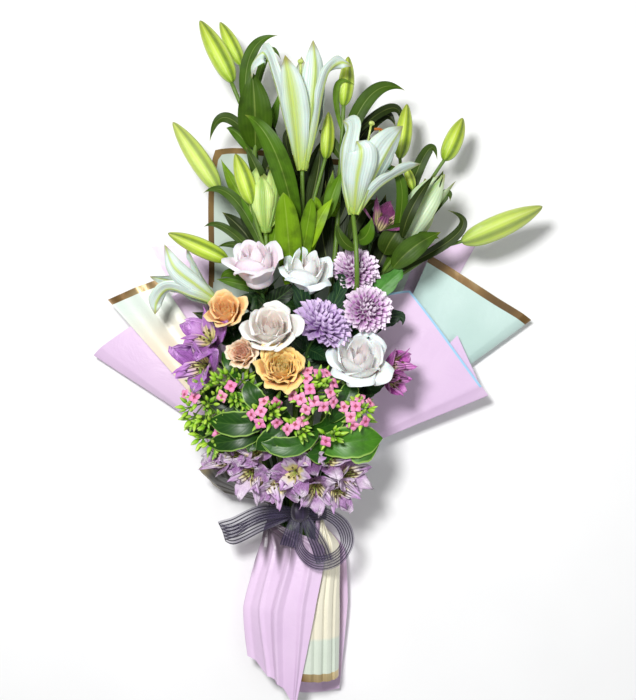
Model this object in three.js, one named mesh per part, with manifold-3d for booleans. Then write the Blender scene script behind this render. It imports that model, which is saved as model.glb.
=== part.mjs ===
// A wrapped mixed bouquet, laid on its back: lilies, roses, chrysanthemums, alstroemerias and
// kalanchoe, tied at the neck with a sheer ribbon and wrapped in pink and mint paper.
// Millimetres. +Z is up, towards the flowers' faces; +Y runs from the tie to the lily tips and +X is
// to the right as the flowers are looked at. Places are given from a point on the resting plane under
// the tie; the finished group's origin is on that plane under the middle of the whole.
import * as THREE from "three";
import Module from "manifold-3d";

const wasm = await Module();
wasm.setup();

// Driving dimensions
const TIE_HEIGHT = 39; // the stem bundle's centre line over the resting plane
const STEM_END = -150; // where the cut ends lie
const STEM_RADIUS = { lily: 3.8, rose: 3.2, spray: 2.8 };
const STEM_TAPER = 0.9; // a stem's radius at its flower, as a share of that at its cut end
const SEAT = -3; // a bloom's foot, along its axis from its base
const PAPER_THICK = 0.8;
const PAPER_RADII = {
  leftCream: 17, rightPink: 17, topMint: 18.8, rightMint: 20.6, leftPink: 20.6, backPink: 22.4,
};
const COLLAR_RADIUS = 22.4;
const NECK_WIDER = 11; // how much further the neck reaches to the sides than up and down
const NECK = 11; // half the length along which the papers are round
const BAND = { inner: 23.4, outer: 24.8, reach: 7 };
const RIBBON_THICK = 1;
const CLEARANCE = 0.4; // how far a piece is grown before it trims its neighbours
const SLIVER = 0.05; // details smaller than this are merged away
const SEAM = 0.3; // the gap between a bloom's foot and the stem that carries it
const BLADE_THICK = 1.2;
const STEM_SPACE = 0.1; // between neighbouring stems
const BUNDLE_PULL = new THREE.Vector2(0.998, 0.99); // a round of packing draws the stems in this much
const STEM_PIECES = 7; // straight lengths from the tie to a flower
const GOLDEN_ANGLE = Math.PI * (3 - Math.sqrt(5));
const LILY_SHARE = 0.52; // a tepal's half width as a share of its distance from the axis, at most
const ROSE_PINWHEEL = 0.13;
const ROSE_OVERLAP = [1.24, 1.3, 1.3]; // a petal's half span as a share of half its whorl's spacing
const ROSE_HEART = [[0.17, 0.4], [0.2, 0.62], [0.07, 0.82]];
const MUM_CORE = [[0, 0], [0.42, 0], [0.5, 0.26], [0.44, 0.5], [0.28, 0.66], [0.1, 0.74]];
const MUM_LEAN = [108, 82, 54, 24]; // each whorl's lean from the head's axis, in degrees

const COLOURS = {
  lilyWhite: { color: 0xf1f4ea, roughness: 0.45 },
  lilyGreen: { color: 0x6f9a2f, roughness: 0.5 },
  rosePink: { color: 0xf0dfe0, roughness: 0.55 },
  roseOrange: { color: 0xeea55a, roughness: 0.55 },
  leafGreen: { color: 0x3f6b2c, roughness: 0.5 },
  lilac: { color: 0xb89acb, roughness: 0.6 },
  purple: { color: 0xa868b8, roughness: 0.55 },
  kalanchoe: { color: 0x4d8a34, roughness: 0.5 },
  pinkPaper: { color: 0xe9cfe8, roughness: 0.4 },
  mintPaper: { color: 0xc9dfd4, roughness: 0.4 },
  creamPaper: { color: 0xeee4cf, roughness: 0.4 },
  ribbon: { color: 0x4a4258, roughness: 0.35 },
};

const point = ([x, y, z]) => new THREE.Vector3(x, y, z);
const curveThrough = (points) => new THREE.CatmullRomCurve3(points, false, "centripetal");
const unit = (direction) => point(direction).normalize();
const radians = THREE.MathUtils.degToRad;
const mix = THREE.MathUtils.lerp;

// A solid from points and triangles; turned over if its faces point inwards.
function solidOf(points, triangles) {
  const vertProperties = new Float32Array(points.flatMap((p) => [p.x, p.y, p.z]));
  const build = (list) => {
    const triVerts = new Uint32Array(list.flat());
    return new wasm.Manifold(new wasm.Mesh({ numProp: 3, vertProperties, triVerts }));
  };
  const made = build(triangles);
  return made.volume() < 0 ? build(triangles.map(([a, b, c]) => [a, c, b])) : made;
}

const union = (solids) => solids.reduce((whole, next) => whole.add(next));

const evenly = (count) => Array.from({ length: count + 1 }, (_, i) => i / count);

// A thin solid round a surface given by s across, -1 to 1, and t along, 0 to 1. Both faces are split
// into triangles alike. A petal or leaf has sharp edges; paper and ribbon are square-edged.
function shell(surface, { cols, rowAt, thick = BLADE_THICK, pointed = false, square = false }) {
  const rows = rowAt.length - 1;
  const points = [];
  const top = [];
  const bottom = [];
  const eps = 1e-3;
  const add = (p) => points.push(p) - 1;
  for (let i = 0; i <= rows; i++) {
    const t = rowAt[i];
    top.push([]);
    bottom.push([]);
    for (let j = 0; j <= cols; j++) {
      const s = (2 * j) / cols - 1;
      if (pointed && i === rows) {
        const tip = j ? top[i][0] : add(surface(0, 1));
        top[i].push(tip);
        bottom[i].push(tip);
        continue;
      }
      const p = surface(s, t);
      if (!square && (j === 0 || j === cols || i === rows)) {
        const edge = add(p);
        top[i].push(edge);
        bottom[i].push(edge);
        continue;
      }
      const ds = surface(Math.min(s + eps, 1), t).sub(surface(Math.max(s - eps, -1), t));
      const dt = surface(s, Math.min(t + eps, 1)).sub(surface(s, Math.max(t - eps, 0)));
      const normal = ds.cross(dt).normalize();
      top[i].push(add(p.clone().addScaledVector(normal, thick / 2)));
      bottom[i].push(add(p.clone().addScaledVector(normal, -thick / 2)));
    }
  }
  const triangles = [];
  const face = (a, b, c) => a !== b && b !== c && c !== a && triangles.push([a, b, c]);
  for (let i = 0; i < rows; i++)
    for (let j = 0; j < cols; j++) {
      face(top[i][j], top[i][j + 1], top[i + 1][j + 1]);
      face(top[i][j], top[i + 1][j + 1], top[i + 1][j]);
      face(bottom[i][j], bottom[i + 1][j + 1], bottom[i][j + 1]);
      face(bottom[i][j], bottom[i + 1][j], bottom[i + 1][j + 1]);
    }
  const wall = (a, b, c, d) => {
    face(a, c, b);
    face(b, c, d);
  };
  for (let j = 0; j < cols; j++) {
    wall(top[0][j], top[0][j + 1], bottom[0][j], bottom[0][j + 1]);
    wall(top[rows][j + 1], top[rows][j], bottom[rows][j + 1], bottom[rows][j]);
  }
  for (let i = 0; i < rows; i++) {
    wall(top[i + 1][0], top[i][0], bottom[i + 1][0], bottom[i][0]);
    wall(top[i][cols], top[i + 1][cols], bottom[i][cols], bottom[i + 1][cols]);
  }
  return solidOf(points, triangles);
}

// A closed solid through rings of points; a ring of one point is a tip, and a ring may have half as
// many points as the fullest one.
function loft(rings) {
  const points = rings.flat();
  const starts = rings.map((_, i) => rings.slice(0, i).reduce((sum, ring) => sum + ring.length, 0));
  const triangles = [];
  const count = Math.max(...rings.map((ring) => ring.length));
  const at = (i, k) => starts[i] + Math.floor(((k % count) * rings[i].length) / count);
  const face = (a, b, c) => a !== b && b !== c && c !== a && triangles.push([a, b, c]);
  for (let i = 0; i < rings.length - 1; i++)
    for (let k = 0; k < count; k++) {
      face(at(i, k), at(i, k + 1), at(i + 1, k + 1));
      face(at(i, k), at(i + 1, k + 1), at(i + 1, k));
    }
  const last = rings.length - 1;
  for (let k = 1; k < count - 1; k++) {
    face(at(0, 0), at(0, k + 1), at(0, k));
    face(at(last, 0), at(last, k), at(last, k + 1));
  }
  return solidOf(points, triangles);
}

// A place round an axis: (radius, angle, height) to a point. Angle 0 is across, a quarter turn is up.
function around(origin, axis) {
  const direction = axis.clone().normalize();
  const toward = Math.abs(direction.z) > 0.95 ? point([0, 1, 0]) : point([0, 0, 1]);
  const side = new THREE.Vector3().crossVectors(direction, toward).normalize();
  const up = new THREE.Vector3().crossVectors(side, direction).normalize();
  return (radius, angle, height) =>
    origin
      .clone()
      .addScaledVector(direction, height)
      .addScaledVector(side, radius * Math.cos(angle))
      .addScaledVector(up, radius * Math.sin(angle));
}

// A body of revolution, with lobes, through [radius, height] pairs round an axis.
function spindle(place, profile, sides, lobes = 0) {
  const ring = ([radius, height]) =>
    radius === 0
      ? [place(0, 0, height)]
      : Array.from({ length: sides }, (_, k) => {
          const angle = (2 * Math.PI * k) / sides;
          return place(radius * (1 + lobes * Math.cos(3 * angle)), angle, height);
        });
  return loft(profile.map(ring));
}

// A round rod along a smooth line through the points.
function rod(points, radius, { sides = 5, steps = 8, taper = 1 } = {}) {
  const line = curveThrough(points);
  let normal = point([0, 0, 1]);
  const rings = [];
  for (let i = 0; i <= steps; i++) {
    const t = i / steps;
    const tangent = line.getTangent(t);
    normal = normal.clone().addScaledVector(tangent, -normal.dot(tangent)).normalize();
    const side = new THREE.Vector3().crossVectors(tangent, normal);
    const r = radius * mix(1, taper, t);
    const centre = line.getPoint(t);
    const corner = (_, k) => {
      const angle = (2 * Math.PI * k) / sides;
      return centre
        .clone()
        .addScaledVector(normal, r * Math.cos(angle))
        .addScaledVector(side, r * Math.sin(angle));
    };
    rings.push(Array.from({ length: sides }, corner));
  }
  return loft(rings);
}

function bend(from, via, tip) {
  const pull = via.clone().multiplyScalar(2).addScaledVector(from, -0.5).addScaledVector(tip, -0.5);
  return new THREE.QuadraticBezierCurve3(from, pull, tip);
}

// Outlines: half the width along a blade, as a share of its widest.
const lanceolate = (t) => 0.14 + 0.86 * Math.sin(Math.PI * Math.min(t ** 0.75, 1)) ** 0.9;
const obovate = (t) => 0.16 + 0.84 * Math.sin(Math.PI * Math.min(t ** 1.5, 1) * 0.97) ** 0.8;
const ovate = (t) => 0.14 + 0.86 * Math.sin(Math.PI * Math.min(t ** 0.6, 1)) ** 0.8;

// A leaf or petal whose mid rib bends from its root through a point to its tip.
function blade({ from, via, tip, width, outline = lanceolate, cup = 0.22, rows = 5, scallop = 0 }) {
  const line = bend(from, via, tip);
  const face = point([0, 0, 1]);
  const surface = (s, t) => {
    const tangent = line.getTangent(t);
    const across = new THREE.Vector3().crossVectors(tangent, face).normalize();
    const normal = new THREE.Vector3().crossVectors(across, tangent);
    const wave = 1 + scallop * Math.cos(Math.PI * Math.round(t * rows));
    const half = (width / 2) * outline(t) * wave;
    return line
      .getPoint(t)
      .addScaledVector(across, s * half)
      .addScaledVector(normal, cup * s * s * half);
  };
  return shell(surface, { cols: 2, rowAt: evenly(rows), pointed: true });
}

// A lily bud: a ridged spindle on the end of its stalk.
function bud(base, tip, width) {
  const axis = tip.clone().sub(base);
  const length = axis.length();
  const shares = [[0.3, -0.03], [0.72, 0.08], [1, 0.35], [0.92, 0.62], [0.5, 0.88]];
  const profile = [...shares.map(([r, h]) => [(r * width) / 2, h * length]), [0, length]];
  return spindle(around(base, axis), profile, 6, 0.1);
}

// A bloom in alternate whorls. Rings of corners, [radius, height], make a core of diamond facets, and
// a petal grows out of each facet: petal(row, k, angle) gives its surface. The rings of heart stand on
// the core inside the innermost whorl.
function bloom(place, { count, rings, heart = [], spin, shares, pointed, petal }) {
  const points = [];
  const triangles = [];
  const step = (2 * Math.PI) / count;
  const add = (p) => points.push(p) - 1;
  const face = (a, b, c) => a !== b && b !== c && c !== a && triangles.push([a, b, c]);
  const top = rings.length - 1;
  const last = top + heart.length;
  const corners = [...rings, ...heart].map(([radius, height], i) => {
    const half = (Math.min(i, top) % 2) / 2;
    return Array.from({ length: count }, (_, k) => add(place(radius, spin + (k + half) * step, height)));
  });
  const at = (i, k) => corners[i][(k + count) % count];
  const section = (surface, t) => {
    const across = surface(1, t).sub(surface(-1, t));
    const along = surface(0, t + 0.01).sub(surface(0, t - 0.01));
    const normal = across.cross(along).setLength(BLADE_THICK / 2);
    return [surface(-1, t), surface(0, t).sub(normal), surface(1, t), surface(0, t).add(normal)].map(add);
  };
  const grow = (root, surface) => {
    let ring = root;
    shares.forEach((t, i) => {
      let next = section(surface, t);
      const end = i === shares.length - 1;
      if (end) next = pointed ? Array(4).fill(add(surface(0, 1))) : [next[0], next[1], next[2], next[1]];
      for (let q = 0; q < 4; q++) {
        const r = (q + 1) % 4;
        const under = q < 2;
        face(ring[q], ring[r], under ? next[r] : next[q]);
        face(under ? ring[q] : ring[r], next[r], next[q]);
      }
      ring = next;
    });
  };
  for (let k = 0; k < count; k++) {
    for (let row = 1; row < top; row++) {
      const half = row % 2;
      const root = [at(row, k), at(row - 1, k + half), at(row, k + 1), at(row + 1, k + half)];
      grow(root, petal(row, k, spin + (k + half / 2 + 0.5) * step));
    }
    const beside = k - 1 + ((top - 1) % 2);
    face(at(0, k + 1), at(1, k), at(0, k));
    face(at(top, beside), at(top - 1, k), at(top, beside + 1));
    for (let row = top; row < last; row++) {
      face(at(row, k), at(row, k + 1), at(row + 1, k + 1));
      face(at(row, k), at(row + 1, k + 1), at(row + 1, k));
    }
    if (k > 0 && k < count - 1) {
      face(at(0, 0), at(0, k + 1), at(0, k));
      face(at(last, 0), at(last, k), at(last, k + 1));
    }
  }
  return solidOf(points, triangles);
}

// A lily flower: six tepals that leave a narrow tube side by side and flare, each by its own opening,
// with a pistil and six stamens.
function lily({ base, axis, length, width, opening, curl = 0.25, spin = 0, open = true }) {
  const place = around(base, axis);
  const petal = (row, k, angle) => (s, t) => {
    const inner = row === 2;
    const spread = opening[(2 * k + row) % opening.length];
    const flare = mix(0.2, spread, THREE.MathUtils.smoothstep(t, 0.25, 0.75));
    const broad = (width / 2) * (inner ? 1.12 : 0.95);
    const radius = (inner ? 4.4 : 5.6) + length * flare * (0.3 * t + 0.7 * t ** 2.4);
    const height = length * (t - curl * flare * t ** 4);
    const half = Math.min(broad * (0.24 + 0.76 * Math.sin(Math.PI * t ** 0.85)), radius * LILY_SHARE);
    return place(Math.hypot(radius, s * half), angle + Math.atan2(s * half, radius), height);
  };
  const rings = [[5.8, SEAT], [6.2, 2], [3.4, 6], [1.4, 7]];
  const shares = [0.25, 0.5, 0.75, 1];
  const parts = [bloom(place, { count: 3, rings, spin, shares, pointed: true, petal })];
  if (open)
    for (let k = 0; k < 7; k++) {
      const angle = spin + (k * Math.PI) / 3 + 0.5;
      const spread = length * (k === 6 ? 0.02 : 0.08);
      const reach = length * (k === 6 ? 0.86 : 0.7);
      parts.push(rod([place(1.2, angle, 6), place(spread, angle, reach)], 1.1, { sides: 3, steps: 1 }));
    }
  return union(parts);
}

// A rose: three whorls of petals, the outer ones wider and rolled back. One side of each petal lies
// further out than the other, so neighbours overlap without crossing.
function rose({ base, axis, radius, height, count = 5, layers, spin = 0 }) {
  const place = around(base, axis);
  const petal = (row, k, angle) => {
    const { at, tall, flare, droop } = layers[row - 1];
    return (s, t) => {
      const overlap = mix(0.94, ROSE_OVERLAP[row - 1], THREE.MathUtils.smoothstep(t, 0.34, 0.7));
      const span = (overlap * (1 - 0.25 * t ** 6) * Math.PI) / count;
      const swell = Math.sin((Math.min(t * 1.3, 1) * Math.PI) / 2);
      const lip = Math.max(0, t - 0.5) / 0.5;
      const out = (mix(at * 0.5, at, swell) + flare * lip ** 1.6) * (1 + ROSE_PINWHEEL * s);
      const rise = height * tall * (t - 0.1 * s * s * t + 0.03 * Math.sin(5 * k + row));
      const fall = radius * (droop * lip ** 2 + 0.12 * s * lip);
      return place(radius * out, angle + s * span, 2 + rise - fall);
    };
  };
  const core = [[0.4, SEAT], [0.46, 1.5], [0.38, 4], [0.22, 5.5], [0.08, 6.5]];
  const rings = core.map(([share, rise]) => [share * radius, rise]);
  const heart = ROSE_HEART.map(([share, rise]) => [share * radius, rise * height]);
  return bloom(place, { count, rings, heart, spin, shares: [0.34, 0.7, 1], pointed: false, petal });
}

// A chrysanthemum head: whorls of narrow petals that stand out of a domed core.
function mum({ base, axis, radius, depth, count, spin = 0 }) {
  const place = around(base, axis);
  const centre = depth * 0.3;
  const petal = (row, k, angle) => {
    const polar = radians(MUM_LEAN[row - 1] + 5 * Math.sin(3 * k + row));
    const root = MUM_CORE[row];
    return (s, t) => {
      const reach = mix(root[0], Math.sin(polar), t) * radius;
      const height = mix(root[1], 0.3 + 0.7 * Math.cos(polar), t) * depth + radius * 0.05 * t * t;
      const half = radius * 0.15 * Math.sin(Math.PI * Math.min(0.15 + t * 0.75, 0.93));
      const turn = Math.atan2(s * half, reach + radius * 0.1);
      return place(reach, angle + turn, height + centre * 0.1 * s * s * t);
    };
  };
  const rings = [[3, SEAT], ...MUM_CORE.slice(1).map(([r, h]) => [r * radius, h * depth])];
  return bloom(place, { count, rings, spin, shares: [0.62, 1], pointed: true, petal });
}

// An alstroemeria floret: three broad outer tepals and three narrow inner ones round a funnel.
function floret({ base, axis, size, spin = 0, spread = 0.62 }) {
  const place = around(base, axis);
  const petal = (row, k, angle) => (s, t) => {
    const inner = row === 2;
    const reach = size * (0.06 + (inner ? 0.75 : 1.1) * spread * t ** 1.3);
    const height = size * (0.12 + (inner ? 0.88 : 0.74) * t - (inner ? 0 : 0.08) * t ** 3);
    const half = size * (inner ? 0.17 : 0.32) * Math.sin(Math.PI * Math.min(0.12 + t * 0.7, 0.95));
    return place(Math.hypot(reach, s * half * 0.8), angle + Math.atan2(s * half, reach), height);
  };
  const throat = [[0.11, 0.1], [0.1, 0.2], [0.04, 0.24]];
  const rings = [[1.6, -3], ...throat.map(([out, rise]) => [size * out, size * rise])];
  return bloom(place, { count: 3, rings, spin, shares: [0.6, 1], pointed: true, petal });
}

// A star with a stalk: rings of [reach of the points, reach of the notches, height]. A ring with no
// notches has one corner for each point of the star.
function star(place, points, rings) {
  const ring = ([out, notch, height]) => {
    if (out === 0) return [place(0, 0, height)];
    const corners = notch ? 2 * points : points;
    const corner = (_, k) => place(notch && k % 2 ? notch : out, (2 * Math.PI * k) / corners, height);
    return Array.from({ length: corners }, corner);
  };
  return loft(rings.map(ring));
}

// Kalanchoe clusters: four-petalled florets and closed buds on thin stalks that spread from a core.
function cluster({ from, centre, axis, radius, florets, buds, size = 15, turn = 0 }) {
  const middle = point(centre);
  const up = unit(axis);
  const place = around(middle, up);
  const core = [[2, -6], [radius * 0.34, 0], [radius * 0.38, radius * 0.4], [radius * 0.1, radius * 0.6]];
  const route = [from, middle.clone().lerp(from, 0.4), middle];
  const parts = [rod(route, 2, { sides: 4, steps: 3 }), spindle(place, core, 6)];
  const count = florets + buds;
  for (let i = 0; i < count; i++) {
    const share = (i + 0.5) / count;
    const angle = turn + i * GOLDEN_ANGLE;
    const polar = Math.sqrt(share) * 1.3;
    const blooming = (i * florets) % count < florets;
    const reach = radius * (blooming ? 1 : 1.08);
    const end = place(reach * Math.sin(polar), angle, reach * (0.2 + 0.8 * Math.cos(polar)));
    const out = end.clone().sub(middle);
    const stalk = out.length() * 0.8;
    const head = around(end, out.addScaledVector(up, radius * 0.5));
    const open = [[1.1, 0, -stalk], [1.1, 0, -2.4], [size / 2, size * 0.24, 0], [0, 0, -0.6]];
    const closed = [[1, -stalk], [2.6, -1.5], [0, 6]];
    parts.push(blooming ? star(head, 4, open) : spindle(head, closed, 3));
  }
  return union(parts);
}

// Stems side by side in the tie: each starts in its flower's direction, and they push each other
// apart until all fit in the bundle.
function packBundle(stems) {
  const slots = stems.map(({ head }) => {
    const lean = head.y + 110;
    return new THREE.Vector2((60 * head.x) / lean, (60 * (head.z - 75)) / lean);
  });
  for (let round = 0; round < 400; round++) {
    slots.forEach((slot) => slot.multiply(BUNDLE_PULL));
    slots.forEach((a, i) =>
      slots.slice(i + 1).forEach((b, k) => {
        const room = stems[i].radius + stems[i + 1 + k].radius + STEM_SPACE;
        const gap = b.clone().sub(a);
        const push = room - gap.length();
        if (push <= 0) return;
        gap.setLength(push / 2);
        a.sub(gap);
        b.add(gap);
      }),
    );
  }
  return slots;
}

// A stem's route from its cut end, through its place in the tie, to the flower's foot.
function stemRoute({ head, axis, foot, via = [] }, slot) {
  const inTie = (y, spread = 1) => point([slot.x * spread, y, TIE_HEIGHT + slot.y * spread]);
  const clear = inTie(16);
  const approach = head.clone().addScaledVector(axis, -0.16 * head.distanceTo(clear));
  const half = point(["x", "y", "z"].map((k) => mix(clear[k], approach[k], k === "x" ? 0.42 : 0.5)));
  const curve = curveThrough([clear, ...(via.length ? via.map(point) : [half]), approach, foot]);
  return [inTie(STEM_END, 1.1), inTie(-20), ...evenly(STEM_PIECES).map((share) => curve.getPointAt(share))];
}

// Stems push each other apart all the way from the tie to their flowers.
function spreadApart(stems, routes) {
  const nearest = new THREE.Vector3();
  const move = (route, k, shift, share) => {
    if (k > 2 && k < route.length - 1) route[k].addScaledVector(shift, share);
  };
  const settle = (i, j) => {
    const [a, b] = [routes[i], routes[j]];
    const room = stems[i].radius + stems[j].radius + STEM_SPACE;
    for (let k = 2; k < a.length - 1; k++)
      for (let m = 2; m < b.length - 1; m++)
        for (const share of [0.25, 0.5, 0.75, 1]) {
          const here = a[k].clone().lerp(a[k + 1], share);
          new THREE.Line3(b[m], b[m + 1]).closestPointToPoint(here, true, nearest);
          const gap = here.sub(nearest);
          const push = room - gap.length();
          if (push <= 0) continue;
          gap.setLength(push / 2);
          move(a, k, gap, 1 - share / 2);
          move(a, k + 1, gap, 0.5 + share / 2);
          move(b, m, gap, -0.75);
          move(b, m + 1, gap, -0.75);
        }
  };
  for (let round = 0; round < 80; round++)
    for (let i = 0; i < stems.length; i++)
      for (let j = 0; j < stems.length; j++) if (i !== j) settle(i, j);
}

// Flowers. at is the bloom's base, axis the way it faces, in the part's frame.
const FULL_ROSE = [
  { at: 0.86, tall: 0.86, flare: 0.28, droop: 0.08 },
  { at: 0.58, tall: 1, flare: 0.06, droop: 0 },
  { at: 0.32, tall: 0.96, flare: -0.03, droop: 0 },
];
const TALL_ROSE = [
  { at: 0.82, tall: 0.74, flare: 0.65, droop: 0.32 },
  { at: 0.6, tall: 0.98, flare: 0.12, droop: 0.02 },
  { at: 0.34, tall: 1, flare: -0.03, droop: 0 },
];
const ROSES = [
  { name: "rose_pink_upper", at: [-37, 258, 128], axis: [-0.12, 0.75, 0.62], radius: 27, height: 50,
    layers: TALL_ROSE, spin: 0.6, color: "rosePink" },
  { name: "rose_pink_back", at: [10, 254, 116], axis: [0.2, 0.86, 0.46], radius: 22, height: 44,
    layers: TALL_ROSE, spin: 2, color: "rosePink" },
  { name: "rose_white_centre", at: [-23, 198, 134], axis: [-0.08, 0.5, 0.86], radius: 28, height: 42,
    layers: FULL_ROSE, spin: 0.3, color: "rosePink" },
  { name: "rose_white_right", at: [70, 160, 128], axis: [0.06, 0.5, 0.86], radius: 26, height: 46,
    layers: TALL_ROSE, spin: 4.4, color: "rosePink" },
  { name: "rose_orange_left", at: [-72, 220, 120], axis: [-0.12, 0.45, 0.88], radius: 20, height: 36,
    count: 4, layers: FULL_ROSE, spin: 1.1, color: "roseOrange" },
  { name: "rose_orange_centre", at: [-14, 160, 144], axis: [0.04, 0.36, 0.93], radius: 24, height: 38,
    layers: FULL_ROSE, spin: 0, color: "roseOrange" },
  { name: "rose_peach", at: [-50, 180, 138], axis: [-0.24, 0.2, 0.95], radius: 16, height: 32, count: 4,
    layers: FULL_ROSE, spin: 0.9, color: "roseOrange" },
];
const MUMS = [
  { name: "mum_upper", at: [66, 272, 112], axis: [0.1, 0.42, 0.9], radius: 28, depth: 25, count: 9 },
  { name: "mum_centre", at: [29, 213, 136], axis: [0.22, 0.6, 0.77], radius: 35, depth: 30, count: 10 },
  { name: "mum_right", at: [76, 228, 134], axis: [0.3, 0.3, 0.9], radius: 29, depth: 26, count: 9 },
];
const LILY_FLOWERS = [
  { name: "lily_flower_centre", at: [8, 388, 113], axis: [0.02, 0.97, 0.22], length: 134, width: 42,
    opening: [0.26, 0.4, 0.16, 0.26, 0.5, 0.2], curl: 0.3, spin: 0.35 },
  { name: "lily_flower_right", at: [64, 338, 134], axis: [0.26, 0.9, 0.28], length: 104, width: 44,
    opening: [0.62, 0.34, 0.22, 0.4, 0.3, 0.5], curl: 0.35, spin: 0.1 },
  { name: "lily_flower_left", at: [-86, 238, 108], axis: [-0.86, 0.46, 0.1], length: 84, width: 34,
    opening: [0.5, 0.62, 0.5, 0.5, 0.4, 0.55], curl: 0.4, spin: 0.5 },
  { name: "lily_flower_far_right", at: [112, 291, 86], axis: [0.58, 0.81, 0.04], length: 98, width: 32,
    opening: [0.16, 0.12, 0.1], curl: 0.1, spin: 0.2, open: false },
  { name: "lily_flower_small", at: [-32, 318, 126], axis: [-0.05, 0.99, 0.06], length: 66, width: 28,
    opening: [0.2, 0.12, 0.16], curl: 0.1, spin: 0.4, open: false },
];
// Lily stems: pedicels run from a share of the stem to a bud or a flower. Leaves are
// [share, via, tip, width].
const LILY_STEMS = [
  {
    name: "lily_stem_left_top", tipped: true, head: [-71, 485, 94], axis: [-0.35, 0.9, 0],
    via: [[-14, 120, 66], [-26, 250, 84], [-40, 380, 90], [-58, 446, 92]],
    buds: [{ base: [-71, 487, 95], tip: [-106, 553, 95], width: 23 },
      { from: 0.93, base: [-62, 509, 76], tip: [-85, 556, 74], width: 17 }],
    leaves: [
      [0.84, [-44, 452, 116], [-47, 492, 122], 36], [0.94, [-50, 513, 97], [-19, 535, 100], 15],
      [0.93, [-33, 515, 84], [-16, 511, 82], 9],
      [0.88, [-78, 446, 90], [-95, 418, 95], 12], [0.82, [-28, 440, 80], [-18, 478, 76], 14],
      [0.66, [-62, 360, 78], [-84, 402, 74], 17],
    ],
  },
  {
    name: "lily_stem_centre", flower: "lily_flower_centre",
    via: [[0, 120, 74], [-1, 230, 96], [0, 310, 108]],
    buds: [{ from: 0.76, base: [34, 402, 92], tip: [37, 452, 92], width: 16 }],
    leaves: [
      [0.84, [-20, 398, 146], [-54, 441, 140], 24], [0.7, [-12, 326, 136], [-14, 352, 150], 18],
      [0.7, [12, 322, 138], [14, 344, 152], 20],
      [0.72, [22, 326, 116], [21, 354, 124], 17], [0.78, [22, 370, 92], [27, 412, 92], 18],
      [0.74, [-18, 360, 98], [-26, 412, 92], 16],
    ],
  },
  {
    name: "lily_stem_right_top", tipped: true, head: [54, 463, 90], axis: [0.05, 0.99, 0],
    via: [[18, 120, 64], [40, 250, 80], [48, 350, 86], [51, 420, 88]],
    buds: [{ base: [53.6, 461, 90], tip: [59, 514, 90], width: 18 }],
    leaves: [
      [0.9, [82, 467, 102], [122, 475, 95], 18], [0.93, [105, 458, 78], [118, 436, 74], 11],
      [0.86, [92, 448, 70], [113, 438, 68], 15],
      [0.95, [46, 478, 100], [66, 480, 102], 7], [0.72, [40, 352, 102], [42, 386, 106], 17],
      [0.7, [70, 380, 84], [84, 410, 80], 15],
    ],
  },
  {
    name: "lily_stem_right_flower", flower: "lily_flower_right",
    via: [[26, 90, 82], [50, 180, 104], [64, 236, 132], [66, 280, 153]],
    buds: [],
    leaves: [[0.9, [78, 312, 128], [84, 332, 122], 17], [0.86, [52, 306, 134], [46, 326, 128], 12]],
  },
  {
    name: "lily_stem_far_right", flower: "lily_flower_far_right",
    via: [[34, 90, 62], [66, 180, 72], [92, 245, 79]],
    buds: [
      { from: 0.9, route: [[118, 280, 68], [122, 340, 64]], base: [117, 404, 80], tip: [125, 463, 80],
        width: 19 },
      { from: 0.92, route: [[126, 300, 66], [146, 366, 66]], base: [168, 402, 75], tip: [188, 448, 75],
        width: 21 },
      { from: 0.94, route: [[118, 304, 98], [130, 344, 96]], base: [130, 366, 100],
        tip: [122, 390, 104], width: 11 },
      { from: 0.88, route: [[132, 280, 82], [160, 300, 80]], base: [190, 310, 80], tip: [277, 348, 80],
        width: 27 },
    ],
    leaves: [
      [0.95, [132, 306, 98], [160, 311, 95], 20], [0.98, [146, 350, 106], [164, 386, 100], 19],
      [0.98, [158, 352, 92], [172, 352, 92], 15],
      [0.96, [140, 396, 94], [158, 398, 92], 14], [0.97, [117, 362, 122], [91, 386, 126], 13],
      [0.93, [180, 316, 86], [169, 343, 88], 12],
    ],
  },
  {
    name: "lily_stem_left", flower: "lily_flower_small",
    via: [[-22, 110, 76], [-32, 200, 94], [-34, 270, 112]],
    buds: [
      { from: 0.9, route: [[-56, 338, 112]], base: [-86, 365, 110], tip: [-134, 437, 115], width: 26 },
      { from: 0.94, route: [[-42, 326, 132]], base: [-47, 347, 136], tip: [-64, 399, 140], width: 20 },
      { from: 0.8, route: [[-56, 266, 108]], base: [-76, 286, 116], tip: [-138, 314, 128], width: 20 },
      { from: 0.68, route: [[-56, 216, 100], [-74, 232, 106]], base: [-84, 237, 108], tip: null },
    ],
    leaves: [[0.93, [-66, 352, 120], [-100, 358, 124], 13],
      [0.9, [-72, 318, 112], [-100, 322, 114], 15], [0.86, [-70, 270, 106], [-100, 262, 100], 16],
      [0.92, [-18, 352, 112], [-30, 398, 108], 17]],
  },
];
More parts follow.
